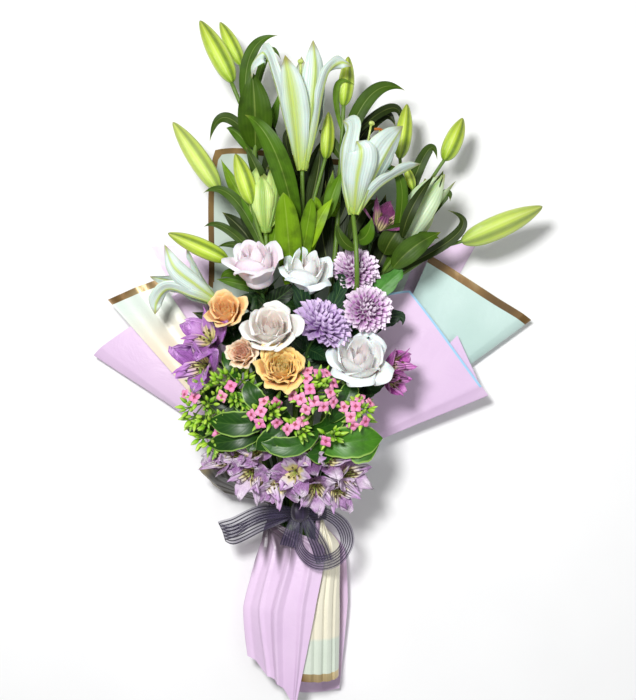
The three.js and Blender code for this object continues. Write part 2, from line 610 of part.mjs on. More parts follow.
const ALSTROEMERIAS = [
  { name: "alstroemeria_left", head: [-88, 176, 104], axis: [-0.5, 0.6, 0.62],
    florets: [{ at: [-90, 200, 112], axis: [-0.3, 0.45, 0.84], size: 42, spin: 0.3 },
      { at: [-95, 174, 114], axis: [-0.4, 0.05, 0.9], size: 42, spin: 1 }] },
  { name: "alstroemeria_right", head: [96, 160, 108], axis: [0.6, 0.4, 0.5],
    florets: [{ at: [102, 160, 112], axis: [0.86, 0.2, 0.5], size: 44, spin: 0.2, spread: 0.4 },
      { at: [98, 148, 108], axis: [0.7, -0.5, 0.45], size: 38, spin: 0.9, spread: 0.4 }] },
  { name: "alstroemeria_top", head: [84, 306, 88], axis: [0.2, 0.9, 0.3],
    florets: [{ at: [90, 314, 92], axis: [0.35, 0.75, 0.5], size: 38, spin: 0.5 }] },
  {
    name: "alstroemeria_low_left", head: [-44, 48, 98], axis: [-0.55, 0.3, 0.75],
    florets: [
      { at: [-66, 56, 102], axis: [-0.7, 0.3, 0.6], size: 37, spin: 0.2 },
      { at: [-50, 44, 104], axis: [-0.3, -0.4, 0.85], size: 36, spin: 0.9 },
      { at: [-40, 66, 110], axis: [-0.2, 0.4, 0.85], size: 34, spin: 0.5 },
      { at: [-72, 40, 94], axis: [-0.7, -0.4, 0.5], size: 34, spin: 0 },
    ],
  },
  {
    name: "alstroemeria_low_right", head: [24, 44, 102], axis: [0.2, 0.3, 0.9],
    florets: [
      { at: [2, 48, 108], axis: [-0.15, -0.1, 0.95], size: 37, spin: 0.1 },
      { at: [32, 58, 108], axis: [0.3, 0.35, 0.85], size: 36, spin: 0.6 },
      { at: [48, 42, 100], axis: [0.6, -0.1, 0.75], size: 37, spin: 1.1 },
      { at: [22, 34, 100], axis: [0, -0.6, 0.75], size: 35, spin: 0.4 },
    ],
  },
];
const KALANCHOES = [
  {
    name: "kalanchoe_left", head: [-72, 126, 112], axis: [-0.4, 0.5, 0.76],
    clusters: [
      { centre: [-64, 144, 126], axis: [0.1, 0.2, 0.95], radius: 22, florets: 2, buds: 7 },
      { centre: [-98, 130, 114], axis: [-0.3, 0, 0.95], radius: 24, florets: 3, buds: 7, turn: 1 },
      { centre: [-84, 100, 112], axis: [-0.2, -0.3, 0.9], radius: 22, florets: 1, buds: 7, turn: 2 },
    ],
    leaves: [[0.86, [-56, 116, 128], [-44, 130, 140], 24], [0.84, [-66, 96, 106], [-96, 84, 108], 24],
      [0.8, [-96, 102, 92], [-122, 100, 92], 26]],
  },
  {
    name: "kalanchoe_centre_left", head: [-30, 112, 138], axis: [-0.05, 0.4, 0.9],
    clusters: [{ centre: [-32, 114, 146], axis: [0, 0, 1], radius: 19, florets: 4, buds: 4, turn: 0.5 }],
    leaves: [[0.88, [-44, 128, 142], [-52, 146, 148], 24], [0.82, [-14, 104, 132], [-8, 122, 146], 22],
      [0.8, [-40, 92, 132], [-50, 76, 140], 24]],
  },
  {
    name: "kalanchoe_centre", head: [12, 118, 144], axis: [0.05, 0.4, 0.9],
    clusters: [
      { centre: [20, 132, 150], axis: [0.1, 0.2, 0.97], radius: 24, florets: 8, buds: 4 },
      { centre: [2, 106, 150], axis: [0, -0.1, 0.98], radius: 18, florets: 2, buds: 5, turn: 1.4 },
    ],
    leaves: [[0.84, [-6, 86, 144], [-36, 88, 150], 24], [0.82, [40, 108, 136], [44, 134, 142], 22]],
  },
  {
    name: "kalanchoe_right", head: [56, 108, 124], axis: [0.3, 0.3, 0.9],
    clusters: [
      { centre: [62, 116, 132], axis: [0.25, 0.1, 0.95], radius: 21, florets: 6, buds: 3, turn: 0.8 },
      { centre: [42, 86, 128], axis: [0.1, -0.3, 0.95], radius: 16, florets: 1, buds: 5, turn: 0.2 },
    ],
    leaves: [[0.84, [66, 84, 132], [92, 84, 126], 38], [0.8, [34, 78, 124], [12, 74, 142], 26]],
  },
];

const MUM_LEAVES = [
  [0.9, [6, 252, 134], [-4, 262, 142], 18], [0.9, [48, 250, 126], [44, 268, 140], 18],
  [0.86, [92, 252, 116], [118, 274, 118], 24], [0.84, [96, 220, 112], [118, 214, 112], 22],
  [0.8, [44, 180, 116], [34, 176, 140], 20],
];
const STEMS = [
  ...LILY_STEMS.map((stem) => {
    const flower = LILY_FLOWERS.find((lilyFlower) => lilyFlower.name === stem.flower);
    const place = { head: stem.head ?? flower.at, axis: stem.axis ?? flower.axis };
    return { ...stem, ...place, kind: "lily", colour: "lilyGreen" };
  }),
  ...ROSES.filter((r) => r.name !== "rose_peach").map(({ name, at, axis }) => (
    { name: name + "_stem", head: at, axis, kind: "rose", colour: "leafGreen" })),
  { name: "mum_stem", head: MUMS[1].at, axis: MUMS[1].axis, kind: "spray", colour: "leafGreen" },
  ...ALSTROEMERIAS.map((a) => ({ ...a, kind: "spray", colour: "purple" })),
  ...KALANCHOES.map((k) => ({ ...k, kind: "spray", colour: "kalanchoe" })),
].map((stem) => {
  const head = point(stem.head);
  const axis = unit(stem.axis);
  const joined = stem.tipped || stem.florets || stem.clusters;
  const foot = joined ? head : head.clone().addScaledVector(axis, SEAT - SEAM);
  return { ...stem, head, axis, foot, radius: STEM_RADIUS[stem.kind] };
});

const slots = packBundle(STEMS);
const routes = STEMS.map((stem, i) => stemRoute(stem, slots[i]));
spreadApart(STEMS, routes);
const lines = new Map(STEMS.map(({ name }, i) => [name, curveThrough(routes[i])]));
const tubes = new Map(
  STEMS.map(({ name, radius, kind }, i) => {
    const shape = { sides: kind === "lily" ? 5 : 4, steps: routes[i].length - 1, taper: STEM_TAPER };
    return [name, rod(routes[i], radius, shape)];
  }),
);
const onStem = (name, share) => lines.get(name).getPoint(share);
const graft = (name, part) => tubes.set(name, tubes.get(name).add(part));

// Branches that belong to a stem's rigid green part.
for (const { name, buds } of LILY_STEMS)
  for (const { from, route = [], base, tip, width } of buds) {
    const stalk = () => [onStem(name, from), ...route.map(point), point(base)];
    if (from) graft(name, rod(stalk(), 2, { sides: 4, steps: 4 }));
    if (tip) graft(name, bud(point(base), point(tip), width));
  }
function sideStem(name, share, via, { at, axis }) {
  const foot = point(at).addScaledVector(unit(axis), SEAT - SEAM);
  graft(name, rod([onStem(name, share), point(via), foot], 2.1, { sides: 4, steps: 5 }));
}
const PEACH_CARRIER = "rose_orange_centre_stem";
sideStem(PEACH_CARRIER, 0.6, [-30, 128, 112], ROSES.find((r) => r.name === "rose_peach"));
sideStem("mum_stem", 0.6, [48, 196, 100], MUMS[0]);
sideStem("mum_stem", 0.66, [64, 186, 94], MUMS[2]);
for (const { name, head, florets } of ALSTROEMERIAS)
  for (const bloom of florets) {
    const base = point(bloom.at);
    const foot = base.clone().addScaledVector(unit(bloom.axis), 1);
    graft(name, rod([point(head), foot], 1.6, { sides: 4, steps: 1 }));
    graft(name, floret({ ...bloom, base, axis: unit(bloom.axis) }));
  }

// Nodes, each made clear of those before it: what a grown neighbour covers is cut away, and only the
// largest piece stays.
const placed = [];
const nodes = new Map();
function asGeometry(solid) {
  const { vertProperties, triVerts } = solid.getMesh();
  return new THREE.BufferGeometry()
    .setAttribute("position", new THREE.BufferAttribute(Float32Array.from(vertProperties), 3))
    .setIndex(new THREE.BufferAttribute(Uint32Array.from(triVerts), 1));
}
function grown(solid) {
  const geometry = asGeometry(solid);
  geometry.computeVertexNormals();
  const { position, normal } = geometry.attributes;
  const vertProperties = position.array.map((value, i) => value + CLEARANCE * normal.array[i]);
  return new wasm.Manifold(new wasm.Mesh({ numProp: 3, vertProperties, triVerts: geometry.index.array }));
}
const boxesMeet = (a, b) => [0, 1, 2].every((k) => a.min[k] < b.max[k] && b.min[k] < a.max[k]);
function trimmed(solid, owner) {
  const box = solid.boundingBox();
  return placed
    .filter((other) => other.name !== owner && boxesMeet(box, other.larger.boundingBox()))
    .reduce((rest, other) => rest.subtract(other.larger).subtract(other.solid), solid);
}
function reserve(name, solid) {
  const larger = grown(solid);
  const before = placed.find((other) => other.name === name);
  if (before) Object.assign(before, { solid, larger });
  else placed.push({ name, solid, larger });
}
const largest = (solid) => solid.decompose().reduce((a, b) => (b.volume() > a.volume() ? b : a));
function node(name, solid, colour) {
  const kept = largest(largest(solid).simplify(SLIVER));
  nodes.set(name, { colour, solid: kept, whole: solid.volume() });
  reserve(name, kept);
}

// Paper: sheets through cross rows of points, from the bottom of the handle, round the neck, to the
// edge beside the flowers. steps is how many rows of facets lie between one cross row and the next.
function paper({ rows, steps }) {
  const across = rows[0].length - 1;
  const last = rows.length - 1;
  const onRow = (row, x) => {
    const index = Math.min(Math.floor(x), across - 1);
    return point(row[index]).lerp(point(row[index + 1]), x - index);
  };
  const surface = (s, t) => {
    const x = THREE.MathUtils.clamp(((s + 1) / 2) * across, 0, across);
    const y = THREE.MathUtils.clamp(t * last, 0, last);
    const row = Math.min(Math.floor(y), last - 1);
    return onRow(rows[row], x).lerp(onRow(rows[row + 1], x), y - row);
  };
  const shares = steps.flatMap((count, row) => {
    const within = evenly(count).slice(0, -1);
    return within.map((share) => (row + share) / last);
  });
  return shell(surface, { cols: across, rowAt: [...shares, 1], thick: PAPER_THICK, square: true });
}
// A cross row round the neck: points at these angles, in degrees, from the right over the front.
function neckRow(radius, y, angles) {
  return angles.map(radians).map((angle) => [
    (radius + NECK_WIDER) * Math.cos(angle),
    y,
    TIE_HEIGHT + radius * Math.sin(angle),
  ]);
}
const BACK_ANGLES = [240, 264, 288, 312, 336];
const BACK_PINK = {
  steps: [1, 1, 1, 1, 2, 2],
  rows: [
    [[-24, -205, 3.6], [-12, -212, 1.8], [8, -215, 1.4], [30, -214, 2.4], [50, -208, 12]],
    [[-24, -105, 3.6], [-12, -107, 1.8], [8, -108, 1.4], [36, -107, 2.4], [60, -104, 18]],
    [[-22, -44, 3], [-10, -45, 1.6], [8, -45, 1.4], [34, -44, 4], [56, -43, 20]],
    neckRow(PAPER_RADII.backPink, -NECK, BACK_ANGLES),
    neckRow(PAPER_RADII.backPink, NECK, BACK_ANGLES),
    [[-54, 70, 3], [-30, 72, 0.4], [4, 73, 0.4], [40, 72, 0.4], [72, 68, 4]],
    [[-171, 309, 0.4], [-75, 311, 0.4], [20, 312, 0.4], [115, 312, 0.4], [212, 312, 0.4]],
  ],
};
const TOP_ANGLES = [216, 240, 264, 288, 312];
const TOP_MINT = {
  steps: [1, 1, 2, 2],
  rows: [
    neckRow(PAPER_RADII.topMint, -NECK - 20, TOP_ANGLES),
    neckRow(PAPER_RADII.topMint, -NECK, TOP_ANGLES),
    neckRow(PAPER_RADII.topMint, NECK, TOP_ANGLES),
    [[-36, 80, 8], [-18, 82, 4], [8, 84, 4], [36, 82, 4], [54, 80, 8]],
    [[-103, 263, 7], [-95, 421, 9], [20, 412, 9], [120, 400, 9], [142, 300, 8]],
  ],
};
const LEFT_PINK = {
  steps: [1, 1, 1, 1, 2, 2],
  rows: [
    [[-27, -176, 9], [-46, -168, 14], [-57, -152, 28], [-50, -165, 42], [-36, -182, 50],
      [-18, -192, 55], [-4, -213, 58], [1, -214, 59]],
    [[-30, -100, 9], [-52, -103, 15], [-61, -105, 30], [-55, -107, 46], [-42, -108, 56],
      [-22, -110, 62], [2, -110, 66], [22, -108, 65]],
    [[-30, -38, 8], [-38, -38, 14], [-40, -38, 28], [-36, -38, 42], [-24, -38, 52], [-6, -38, 59],
      [14, -38, 62], [32, -36, 60]],
    neckRow(PAPER_RADII.leftPink, -NECK, [240, 224, 208, 192, 176, 160, 144, 128]),
    neckRow(PAPER_RADII.leftPink, NECK, [240, 228, 218, 209, 201, 194, 188, 184]),
    [[-62, 105, 4.4], [-104, 98, 10], [-110, 96, 17], [-106, 98, 25], [-98, 104, 30], [-90, 110, 34],
      [-80, 116, 37], [-70, 118, 39]],
    [[-140, 255, 4.4], [-226, 187, 9], [-236, 181, 15], [-227, 190, 21], [-190, 216, 25],
      [-160, 238, 27], [-134, 254, 29], [-112, 270, 30]],
  ],
};
const RIGHT_MINT = {
  steps: [1, 1, 1, 1, 2, 2],
  rows: [
    [[44, -186, 18], [48, -188, 27], [48, -190, 36], [45, -191, 43], [38, -192, 48], [28, -192, 52],
      [16, -191, 55], [4, -190, 57]],
    [[46, -100, 20], [50, -101, 29], [50, -102, 38], [46, -102, 46], [39, -102, 52], [30, -102, 56],
      [20, -102, 59], [10, -102, 61]],
    [[36, -36, 20], [44, -36, 25], [49, -36, 32], [48, -36, 39], [43, -36, 45], [37, -36, 49],
      [31, -36, 51.5], [24, -36, 53.5]],
    neckRow(PAPER_RADII.rightMint, -NECK, [306, 320, 333, 346, 358, 369, 379, 388]),
    neckRow(PAPER_RADII.rightMint, NECK, [306, 311, 316, 321, 326, 331, 336, 340]),
    [[95, 120, 4.6], [124, 117, 8], [130, 115, 14], [124, 118, 20], [112, 122, 23], [102, 126, 25],
      [92, 130, 27], [84, 134, 28]],
    [[190, 262, 5], [262, 228, 8], [274, 222, 14], [264, 229, 20], [236, 246, 23], [208, 264, 25],
      [180, 282, 26], [155, 297, 27]],
  ],
};
const RIGHT_PINK_ANGLES = [344, 355, 366, 377, 387, 396];
const RIGHT_PINK = {
  steps: [1, 1, 2, 2],
  rows: [
    neckRow(PAPER_RADII.rightPink, -NECK - 20, RIGHT_PINK_ANGLES),
    neckRow(PAPER_RADII.rightPink, -NECK, RIGHT_PINK_ANGLES),
    neckRow(PAPER_RADII.rightPink, NECK, RIGHT_PINK_ANGLES),
    [[94, 110, 32], [82, 84, 31], [86, 79, 35], [80, 84, 40], [72, 104, 44], [58, 104, 47]],
    [[186, 204, 34], [214, 143, 33], [221, 135, 38], [213, 145, 44], [130, 255, 50], [86, 248, 50]],
  ],
};
const LEFT_CREAM_ANGLES = [180, 168, 156];
const LEFT_CREAM = {
  steps: [1, 1, 2, 2],
  rows: [
    neckRow(PAPER_RADII.leftCream, -NECK - 20, LEFT_CREAM_ANGLES),
    neckRow(PAPER_RADII.leftCream, -NECK, LEFT_CREAM_ANGLES),
    neckRow(PAPER_RADII.leftCream, NECK, LEFT_CREAM_ANGLES),
    [[-88, 98, 44], [-72, 110, 50], [-58, 118, 54]],
    [[-217, 245, 35], [-186, 258, 40], [-156, 269, 44]],
  ],
};
const COLLAR_ANGLES = [216, 192, 168, 144, 120];
const COLLAR = {
  steps: [1, 1, 2],
  rows: [
    neckRow(COLLAR_RADIUS, -NECK, COLLAR_ANGLES),
    neckRow(COLLAR_RADIUS, NECK, COLLAR_ANGLES),
    [[-70, 18, 24], [-80, 22, 40], [-92, 36, 58], [-82, 44, 76], [-60, 36, 86]],
    [[-78, 20, 22], [-92, 30, 40], [-110, 52, 60], [-94, 66, 82], [-66, 54, 92]],
  ],
};

// The band that holds the stems and papers, and the ribbon bow over it.
function bandRing({ inner, outer, reach }, sides = 24) {
  const corners = [[inner, -reach], [outer, -reach], [outer, reach], [inner, reach]];
  const points = [];
  const triangles = [];
  const at = (k, c) => (k % sides) * 4 + (c % 4);
  for (let k = 0; k < sides; k++) {
    const angle = (2 * Math.PI * k) / sides;
    for (let c = 0; c < 4; c++) {
      const [r, y] = corners[c];
      points.push(point([(r + NECK_WIDER) * Math.cos(angle), y, TIE_HEIGHT + r * Math.sin(angle)]));
      triangles.push([at(k, c), at(k + 1, c), at(k + 1, c + 1)],
        [at(k, c), at(k + 1, c + 1), at(k, c + 1)]);
    }
  }
  return solidOf(points, triangles);
}
// A ribbon strip along a line, gathered at its ends; its width turns through the given directions.
function strip(route, width, facings, rows, loose = 0) {
  const line = curveThrough(route.map(point));
  const facing = facings.map(unit);
  const surface = (s, t) => {
    const x = THREE.MathUtils.clamp(t, 0, 1) * (facing.length - 1);
    const index = Math.min(Math.floor(x), facing.length - 2);
    const across = facing[index].clone().lerp(facing[index + 1], x - index).normalize();
    const gather = mix(0.34, 1, Math.sin(Math.PI * mix(t, t / 2, loose)) ** 0.6);
    return line.getPoint(t).addScaledVector(across, (s * gather * width) / 2);
  };
  return shell(surface, { cols: 1, rowAt: evenly(rows), thick: RIBBON_THICK, square: true });
}
const KNOT = [4, 6, 72];
const bow = union([
  spindle(around(point(KNOT), unit([0, 1, 0])), [[5, -12], [9, -7], [10, 2], [8, 9], [4, 13]], 6),
  strip(
    [[-2, 5, 74], [-38, 4, 81], [-70, -12, 79], [-83, -17, 73], [-73, -22, 67], [-38, -8, 67], [-3, 3, 69]],
    27, [[0.1, 1, 0.3], [-0.3, 0.9, 0.5], [0, 1, 0.2]], 9,
  ),
  strip(
    [[10, 6, 75], [32, 5, 82], [52, -8, 84], [58, -28, 81], [46, -47, 77], [22, -52, 75], [4, -36, 73],
      [5, 0, 69]],
    19, [[0, 1, 0.3], [0.8, 0.5, 0.4], [0.1, -1, 0.5], [-0.9, 0, 0.5]], 11,
  ),
  strip([[9, 2, 72], [17, -14, 74], [27, -34, 72], [33, -52, 68]], 20, [[1, 0.2, 0], [1, 0.3, 0.1]], 3, 1),
  strip([[1, 2, 72], [-4, -16, 75], [-9, -34, 72]], 18, [[1, 0, 0], [1, -0.2, 0.1]], 3, 1),
]);

const SHEETS = [
  ["paper_back_pink", BACK_PINK, "pinkPaper"], ["paper_left_pink", LEFT_PINK, "pinkPaper"],
  ["paper_right_mint", RIGHT_MINT, "mintPaper"], ["paper_top_mint", TOP_MINT, "mintPaper"],
  ["paper_right_pink", RIGHT_PINK, "pinkPaper"], ["paper_left_cream", LEFT_CREAM, "creamPaper"],
  ["paper_collar_cream", COLLAR, "creamPaper"],
];
const bloomOf = ({ at, axis, ...rest }) => ({ base: point(at), axis: unit(axis), ...rest });
for (const [name, tube] of tubes) reserve(name, tube);
node("tie_band", bandRing(BAND), "ribbon");
for (const [name, sheet, colour] of SHEETS) node(name, trimmed(paper(sheet)), colour);
node("ribbon_bow", trimmed(bow), "ribbon");
for (const flower of LILY_FLOWERS) node(flower.name, trimmed(lily(bloomOf(flower))), "lilyWhite");
for (const flower of ROSES) node(flower.name, trimmed(rose(bloomOf(flower))), flower.color);
for (const flower of MUMS) node(flower.name, trimmed(mum(bloomOf(flower))), "lilac");

// Foliage and kalanchoe clusters are trimmed, then joined to their own stem.
const foliage = new Map(STEMS.map(({ name }) => [name, []]));
function addLeaf(name, [share, via, tip, width], more = {}) {
  const from = onStem(name, share);
  foliage.get(name).push(blade({ from, via: point(via), tip: point(tip), width, ...more }));
}
for (const { name, clusters, leaves } of KALANCHOES) {
  for (const bunch of clusters) foliage.get(name).push(cluster({ ...bunch, from: onStem(name, 0.82) }));
  for (const leaf of leaves) addLeaf(name, leaf, { outline: obovate, rows: 4, scallop: 0.06, cup: 0.1 });
}
for (const { name, leaves } of LILY_STEMS)
  for (const leaf of leaves) addLeaf(name, leaf, { rows: leaf[3] > 20 ? 4 : 3 });
for (const leaf of MUM_LEAVES) addLeaf("mum_stem", leaf, { outline: ovate, rows: 3, scallop: 0.08 });
for (const { name, at, axis } of ROSES) {
  const carrier = name === "rose_peach" ? PEACH_CARRIER : name + "_stem";
  foliage.get(carrier).push(star(around(point(at), unit(axis)), 5,
    [[2.4, 0, -9], [13, 4, -4.4], [0, 0, -4]]));
}
for (const { name, colour } of STEMS) {
  const parts = foliage.get(name);
  const tube = tubes.get(name);
  node(name, parts.length ? tube.add(trimmed(union(parts), name)) : tube, colour);
}

// The whole, moved so that the origin is under its middle, on the resting plane.
const bouquet = new THREE.Group();
bouquet.name = "mixed_flower_bouquet";
const extent = new THREE.Box3();
for (const { solid } of nodes.values()) {
  const { min, max } = solid.boundingBox();
  extent.expandByPoint(point(min)).expandByPoint(point(max));
}
const middle = extent.getCenter(new THREE.Vector3());
for (const [name, { solid, colour }] of nodes) {
  const geometry = asGeometry(solid).translate(-middle.x, -middle.y, 0);
  const mesh = new THREE.Mesh(geometry,
    new THREE.MeshStandardMaterial({ metalness: 0, ...COLOURS[colour] }));
  mesh.name = name;
  bouquet.add(mesh);
}
export default bouquet;
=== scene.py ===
"""The looks of a wrapped mixed bouquet that lies on its back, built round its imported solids."""

import math
from functools import cached_property
from types import SimpleNamespace

import bpy
import numpy as np
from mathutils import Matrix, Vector


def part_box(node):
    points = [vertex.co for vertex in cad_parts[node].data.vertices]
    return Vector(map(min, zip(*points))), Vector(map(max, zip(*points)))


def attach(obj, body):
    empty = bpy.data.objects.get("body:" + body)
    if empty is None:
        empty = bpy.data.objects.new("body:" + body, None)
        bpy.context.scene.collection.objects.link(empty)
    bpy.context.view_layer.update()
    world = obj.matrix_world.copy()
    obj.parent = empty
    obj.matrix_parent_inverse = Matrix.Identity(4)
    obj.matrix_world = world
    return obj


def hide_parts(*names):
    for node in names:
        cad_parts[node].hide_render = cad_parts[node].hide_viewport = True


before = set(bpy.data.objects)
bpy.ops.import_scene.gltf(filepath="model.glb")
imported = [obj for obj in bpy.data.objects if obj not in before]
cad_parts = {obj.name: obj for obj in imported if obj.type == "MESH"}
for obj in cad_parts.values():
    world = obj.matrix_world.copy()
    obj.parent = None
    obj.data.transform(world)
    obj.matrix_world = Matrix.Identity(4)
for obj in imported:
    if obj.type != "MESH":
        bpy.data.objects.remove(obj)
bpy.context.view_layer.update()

# Places are in millimetres from the point on the resting plane under the tie.
band_low, band_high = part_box("tie_band")
TIE = np.array([(band_low.x + band_high.x) / 2, (band_low.y + band_high.y) / 2, 0.0])
MM = 0.001
TIE_HEIGHT = 39
NECK = 11  # half the length of the neck, and how much wider than high it is
CAMERA = (25.3, 187, 1700)
PIXEL, PIXEL_HEIGHT = 1.1, 110  # millimetres in a pixel of the 636 by 700 view at this height
GOLDEN_ANGLE = math.pi * (3 - math.sqrt(5))
UP = (0, 0, 1)


# Geometry helpers
def vec(*values):
    return np.array(values, float)


def unit(v):
    v = np.asarray(v, float)
    return v / np.maximum(np.linalg.norm(v, axis=-1, keepdims=True), 1e-9)


def mix(a, b, share):
    return a + (b - a) * share


def smooth(x, low, high):
    y = np.clip((x - low) / (high - low), 0, 1)
    return y * y * (3 - 2 * y)


def scaled(profile, radius, height):
    return [[r * radius, h * height] for r, h in profile]


def seen(x, y, z):
    """The point at this height that the camera sees at a pixel."""
    k = PIXEL * (CAMERA[2] - z) / (CAMERA[2] - PIXEL_HEIGHT)
    return vec(CAMERA[0] + (x - 318) * k, CAMERA[1] - (y - 350) * k, z)


def lattice(cols, rows):
    """s across from -1 to 1 and t along from 0 to 1."""
    return np.meshgrid(np.linspace(-1, 1, cols + 1), np.linspace(0, 1, rows + 1))


def between(points, share):
    """The two points on either side of each share of the way, and the share between them."""
    x = np.clip(np.asarray(share, float), 0, 1) * (len(points) - 1)
    i = np.minimum(x.astype(int), len(points) - 2)
    return i, (x - i)[..., None]


class Curve:
    """A centripetal curve through points."""

    def __init__(self, points):
        p = self.inner = np.asarray(points, float)
        self.points = np.vstack([2 * p[0] - p[1], p, 2 * p[-1] - p[-2]])

    def at(self, share):
        i, w = between(self.inner, share)
        a, b, c, d = (self.points[i + k] for k in range(4))
        gap = lambda p, q: np.maximum(np.sum((p - q) ** 2, -1, keepdims=True) ** 0.25, 1e-4)
        ab, bc, cd = gap(a, b), gap(b, c), gap(c, d)
        u = ((b - a) / ab - (c - a) / (ab + bc) + (c - b) / bc) * bc
        v = ((c - b) / bc - (d - b) / (bc + cd) + (d - c) / cd) * bc
        return b + u * w + (3 * (c - b) - 2 * u - v) * w**2 + (2 * (b - c) + u + v) * w**3

    def even(self, share):
        """Points at shares of the curve's length."""
        t = np.linspace(0, 1, 201)
        steps = np.linalg.norm(np.diff(self.at(t), axis=0), axis=1)
        length = np.concatenate([[0], np.cumsum(steps)])
        return self.at(np.interp(np.asarray(share) * length[-1], length, t))


def around(origin, axis):
    """A place round an axis: (radius, angle, height) to a point."""
    direction = unit(axis)
    side = unit(np.cross(direction, vec(0, 1, 0) if abs(direction[2]) > 0.95 else UP))
    up = unit(np.cross(side, direction))
    origin = np.asarray(origin, float)

    def place(radius, angle, height):
        radius, angle, height = np.broadcast_arrays(radius, angle, height)
        out, over = (radius * np.cos(angle))[..., None], (radius * np.sin(angle))[..., None]
        return origin + direction * height[..., None] + side * out + up * over

    return place


def normals(p):
    """The unit normals of a grid of points."""
    n = unit(np.cross(np.gradient(p, axis=1), np.gradient(p, axis=0)))
    n[0], n[-1] = n[1], n[-2]
    return n


class Skin:
    """Gathers grids of points into one mesh, with uvs, a tone, an edge distance and a paint."""

    def __init__(self):
        self.points, self.quads, self.uvs = [], [], []
        self.tones, self.edges, self.paints = [], [], []
        self.size = 0

    def patch(self, p, tone=0.5, paint=0, ring=False, edge=99.0, u=None, v=None):
        rows, cols = shape = p.shape[:2]
        index = self.size + np.arange(rows * cols).reshape(shape)
        right = np.roll(index, -1, 1) if ring else index[:, 1:]
        left = index if ring else index[:, :-1]
        quads = np.stack([left[:-1], right[:-1], right[1:], left[1:]], -1).reshape(-1, 4)
        u = np.linspace(0, 1, cols)[None] if u is None else u
        v = np.linspace(0, 1, rows)[:, None] if v is None else v
        uv = np.stack([np.broadcast_to(u, shape), np.broadcast_to(v, shape)], -1)
        self.points.append(p.reshape(-1, 3))
        self.quads.append(quads)
        self.uvs.append(uv.reshape(-1, 2))
        self.tones.append(np.broadcast_to(tone, shape).ravel())
        self.edges.append(np.broadcast_to(edge, shape).ravel())
        self.paints.append(np.full(len(quads), paint))
        self.size += rows * cols

    def blade(self, p, thick=0.7, **more):
        """A thin sharp-edged solid round a grid of points."""
        s = np.linspace(-1, 1, p.shape[1])
        t = np.linspace(0, 1, p.shape[0])[:, None]
        lift = normals(p) * (thick / 2 * np.sqrt(np.clip(1 - s**4, 0, 1)) * (1 - t**8))[..., None]
        u = np.linspace(0, 1, p.shape[1])[None]
        self.patch(p + lift, u=u, **more)
        self.patch((p - lift)[:, ::-1], u=u[:, ::-1], **more)

    def tube(self, points, radius, steps=12, sides=8, taper=1.0, **more):
        """A round rod along a smooth line, closed at both ends."""
        t = np.linspace(0, 1, steps + 1)
        line = Curve(points).at(t)
        tangent = unit(np.gradient(line, axis=0))
        normal = vec(0, 0, 1) if abs(tangent[0][2]) < 0.9 else vec(0, 1, 0)
        angle = np.linspace(0, 2 * math.pi, sides, endpoint=False)[:, None]
        rings = []
        for i in range(steps + 1):
            normal = unit(normal - tangent[i] * np.dot(normal, tangent[i]))
            side = np.cross(tangent[i], normal)
            r = radius * mix(1, taper, t[i])
            rings.append(line[i] + r * (np.cos(angle) * normal + np.sin(angle) * side))
        first, last = (np.repeat(end, sides, 0) for end in (line[:1], line[-1:]))
        self.patch(np.stack([first, *rings, last]), ring=True, **more)

    def spindle(self, place, profile, rows=12, sides=10, lobes=0.0, **more):
        """A body of revolution through [radius, height] pairs round an axis."""
        line = Curve(np.c_[profile, np.zeros(len(profile))]).at(np.linspace(0, 1, rows + 1))
        angle = np.linspace(0, 2 * math.pi, sides, endpoint=False)
        radius = np.maximum(line[:, :1], 0) * (1 + lobes * np.cos(3 * angle))
        ridge = 0.5 + 0.5 * np.cos(3 * angle)
        p = place(radius, angle, line[:, 1:2] + 0 * angle)
        self.patch(p, ring=True, u=ridge[None], **more)

    def petal(self, place, angle, s, reach, half, height, thick, narrow=1.0, **more):
        """A blade that points away from an axis, from how far out, wide and high its points lie."""
        turn = np.arctan2(s * half, reach)
        self.blade(place(np.hypot(reach, s * half * narrow), angle + turn, height), thick, **more)


def piece(name, skin, paints, replaces=True):
    """One object of the bouquet from a skin, standing for the CAD node of its name."""
    mesh = bpy.data.meshes.new(name)
    points = (TIE + np.concatenate(skin.points) * MM).astype(np.float32)
    quads = np.concatenate(skin.quads).astype(np.int32)
    mesh.vertices.add(len(points))
    mesh.vertices.foreach_set("co", points.ravel())
    mesh.loops.add(quads.size)
    mesh.loops.foreach_set("vertex_index", quads.ravel())
    mesh.polygons.add(len(quads))
    mesh.polygons.foreach_set("loop_start", np.arange(0, quads.size, 4, dtype=np.int32))
    mesh.update(calc_edges=True)
    uvs = np.concatenate(skin.uvs).astype(np.float32)[quads.ravel()]
    mesh.uv_layers.new(name="uv").data.foreach_set("uv", uvs.ravel())
    for label, values in (("tone", skin.tones), ("edge", skin.edges)):
        layer = mesh.attributes.new(label, "FLOAT", "POINT")
        layer.data.foreach_set("value", np.concatenate(values).astype(np.float32))
    for paint in paints:
        mesh.materials.append(paint)
    mesh.polygons.foreach_set("material_index", np.concatenate(skin.paints).astype(np.int32))
    mesh.shade_smooth()
    obj = bpy.data.objects.new(name, mesh)
    bpy.context.scene.collection.objects.link(obj)
    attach(obj, "root")
    if replaces:
        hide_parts(name)
    return obj


# Paints
def colour(code):
    parts = [int(code[i : i + 2], 16) / 255 for i in (0, 2, 4)]
    return (*[c / 12.92 if c <= 0.04045 else ((c + 0.055) / 1.055) ** 2.4 for c in parts], 1.0)


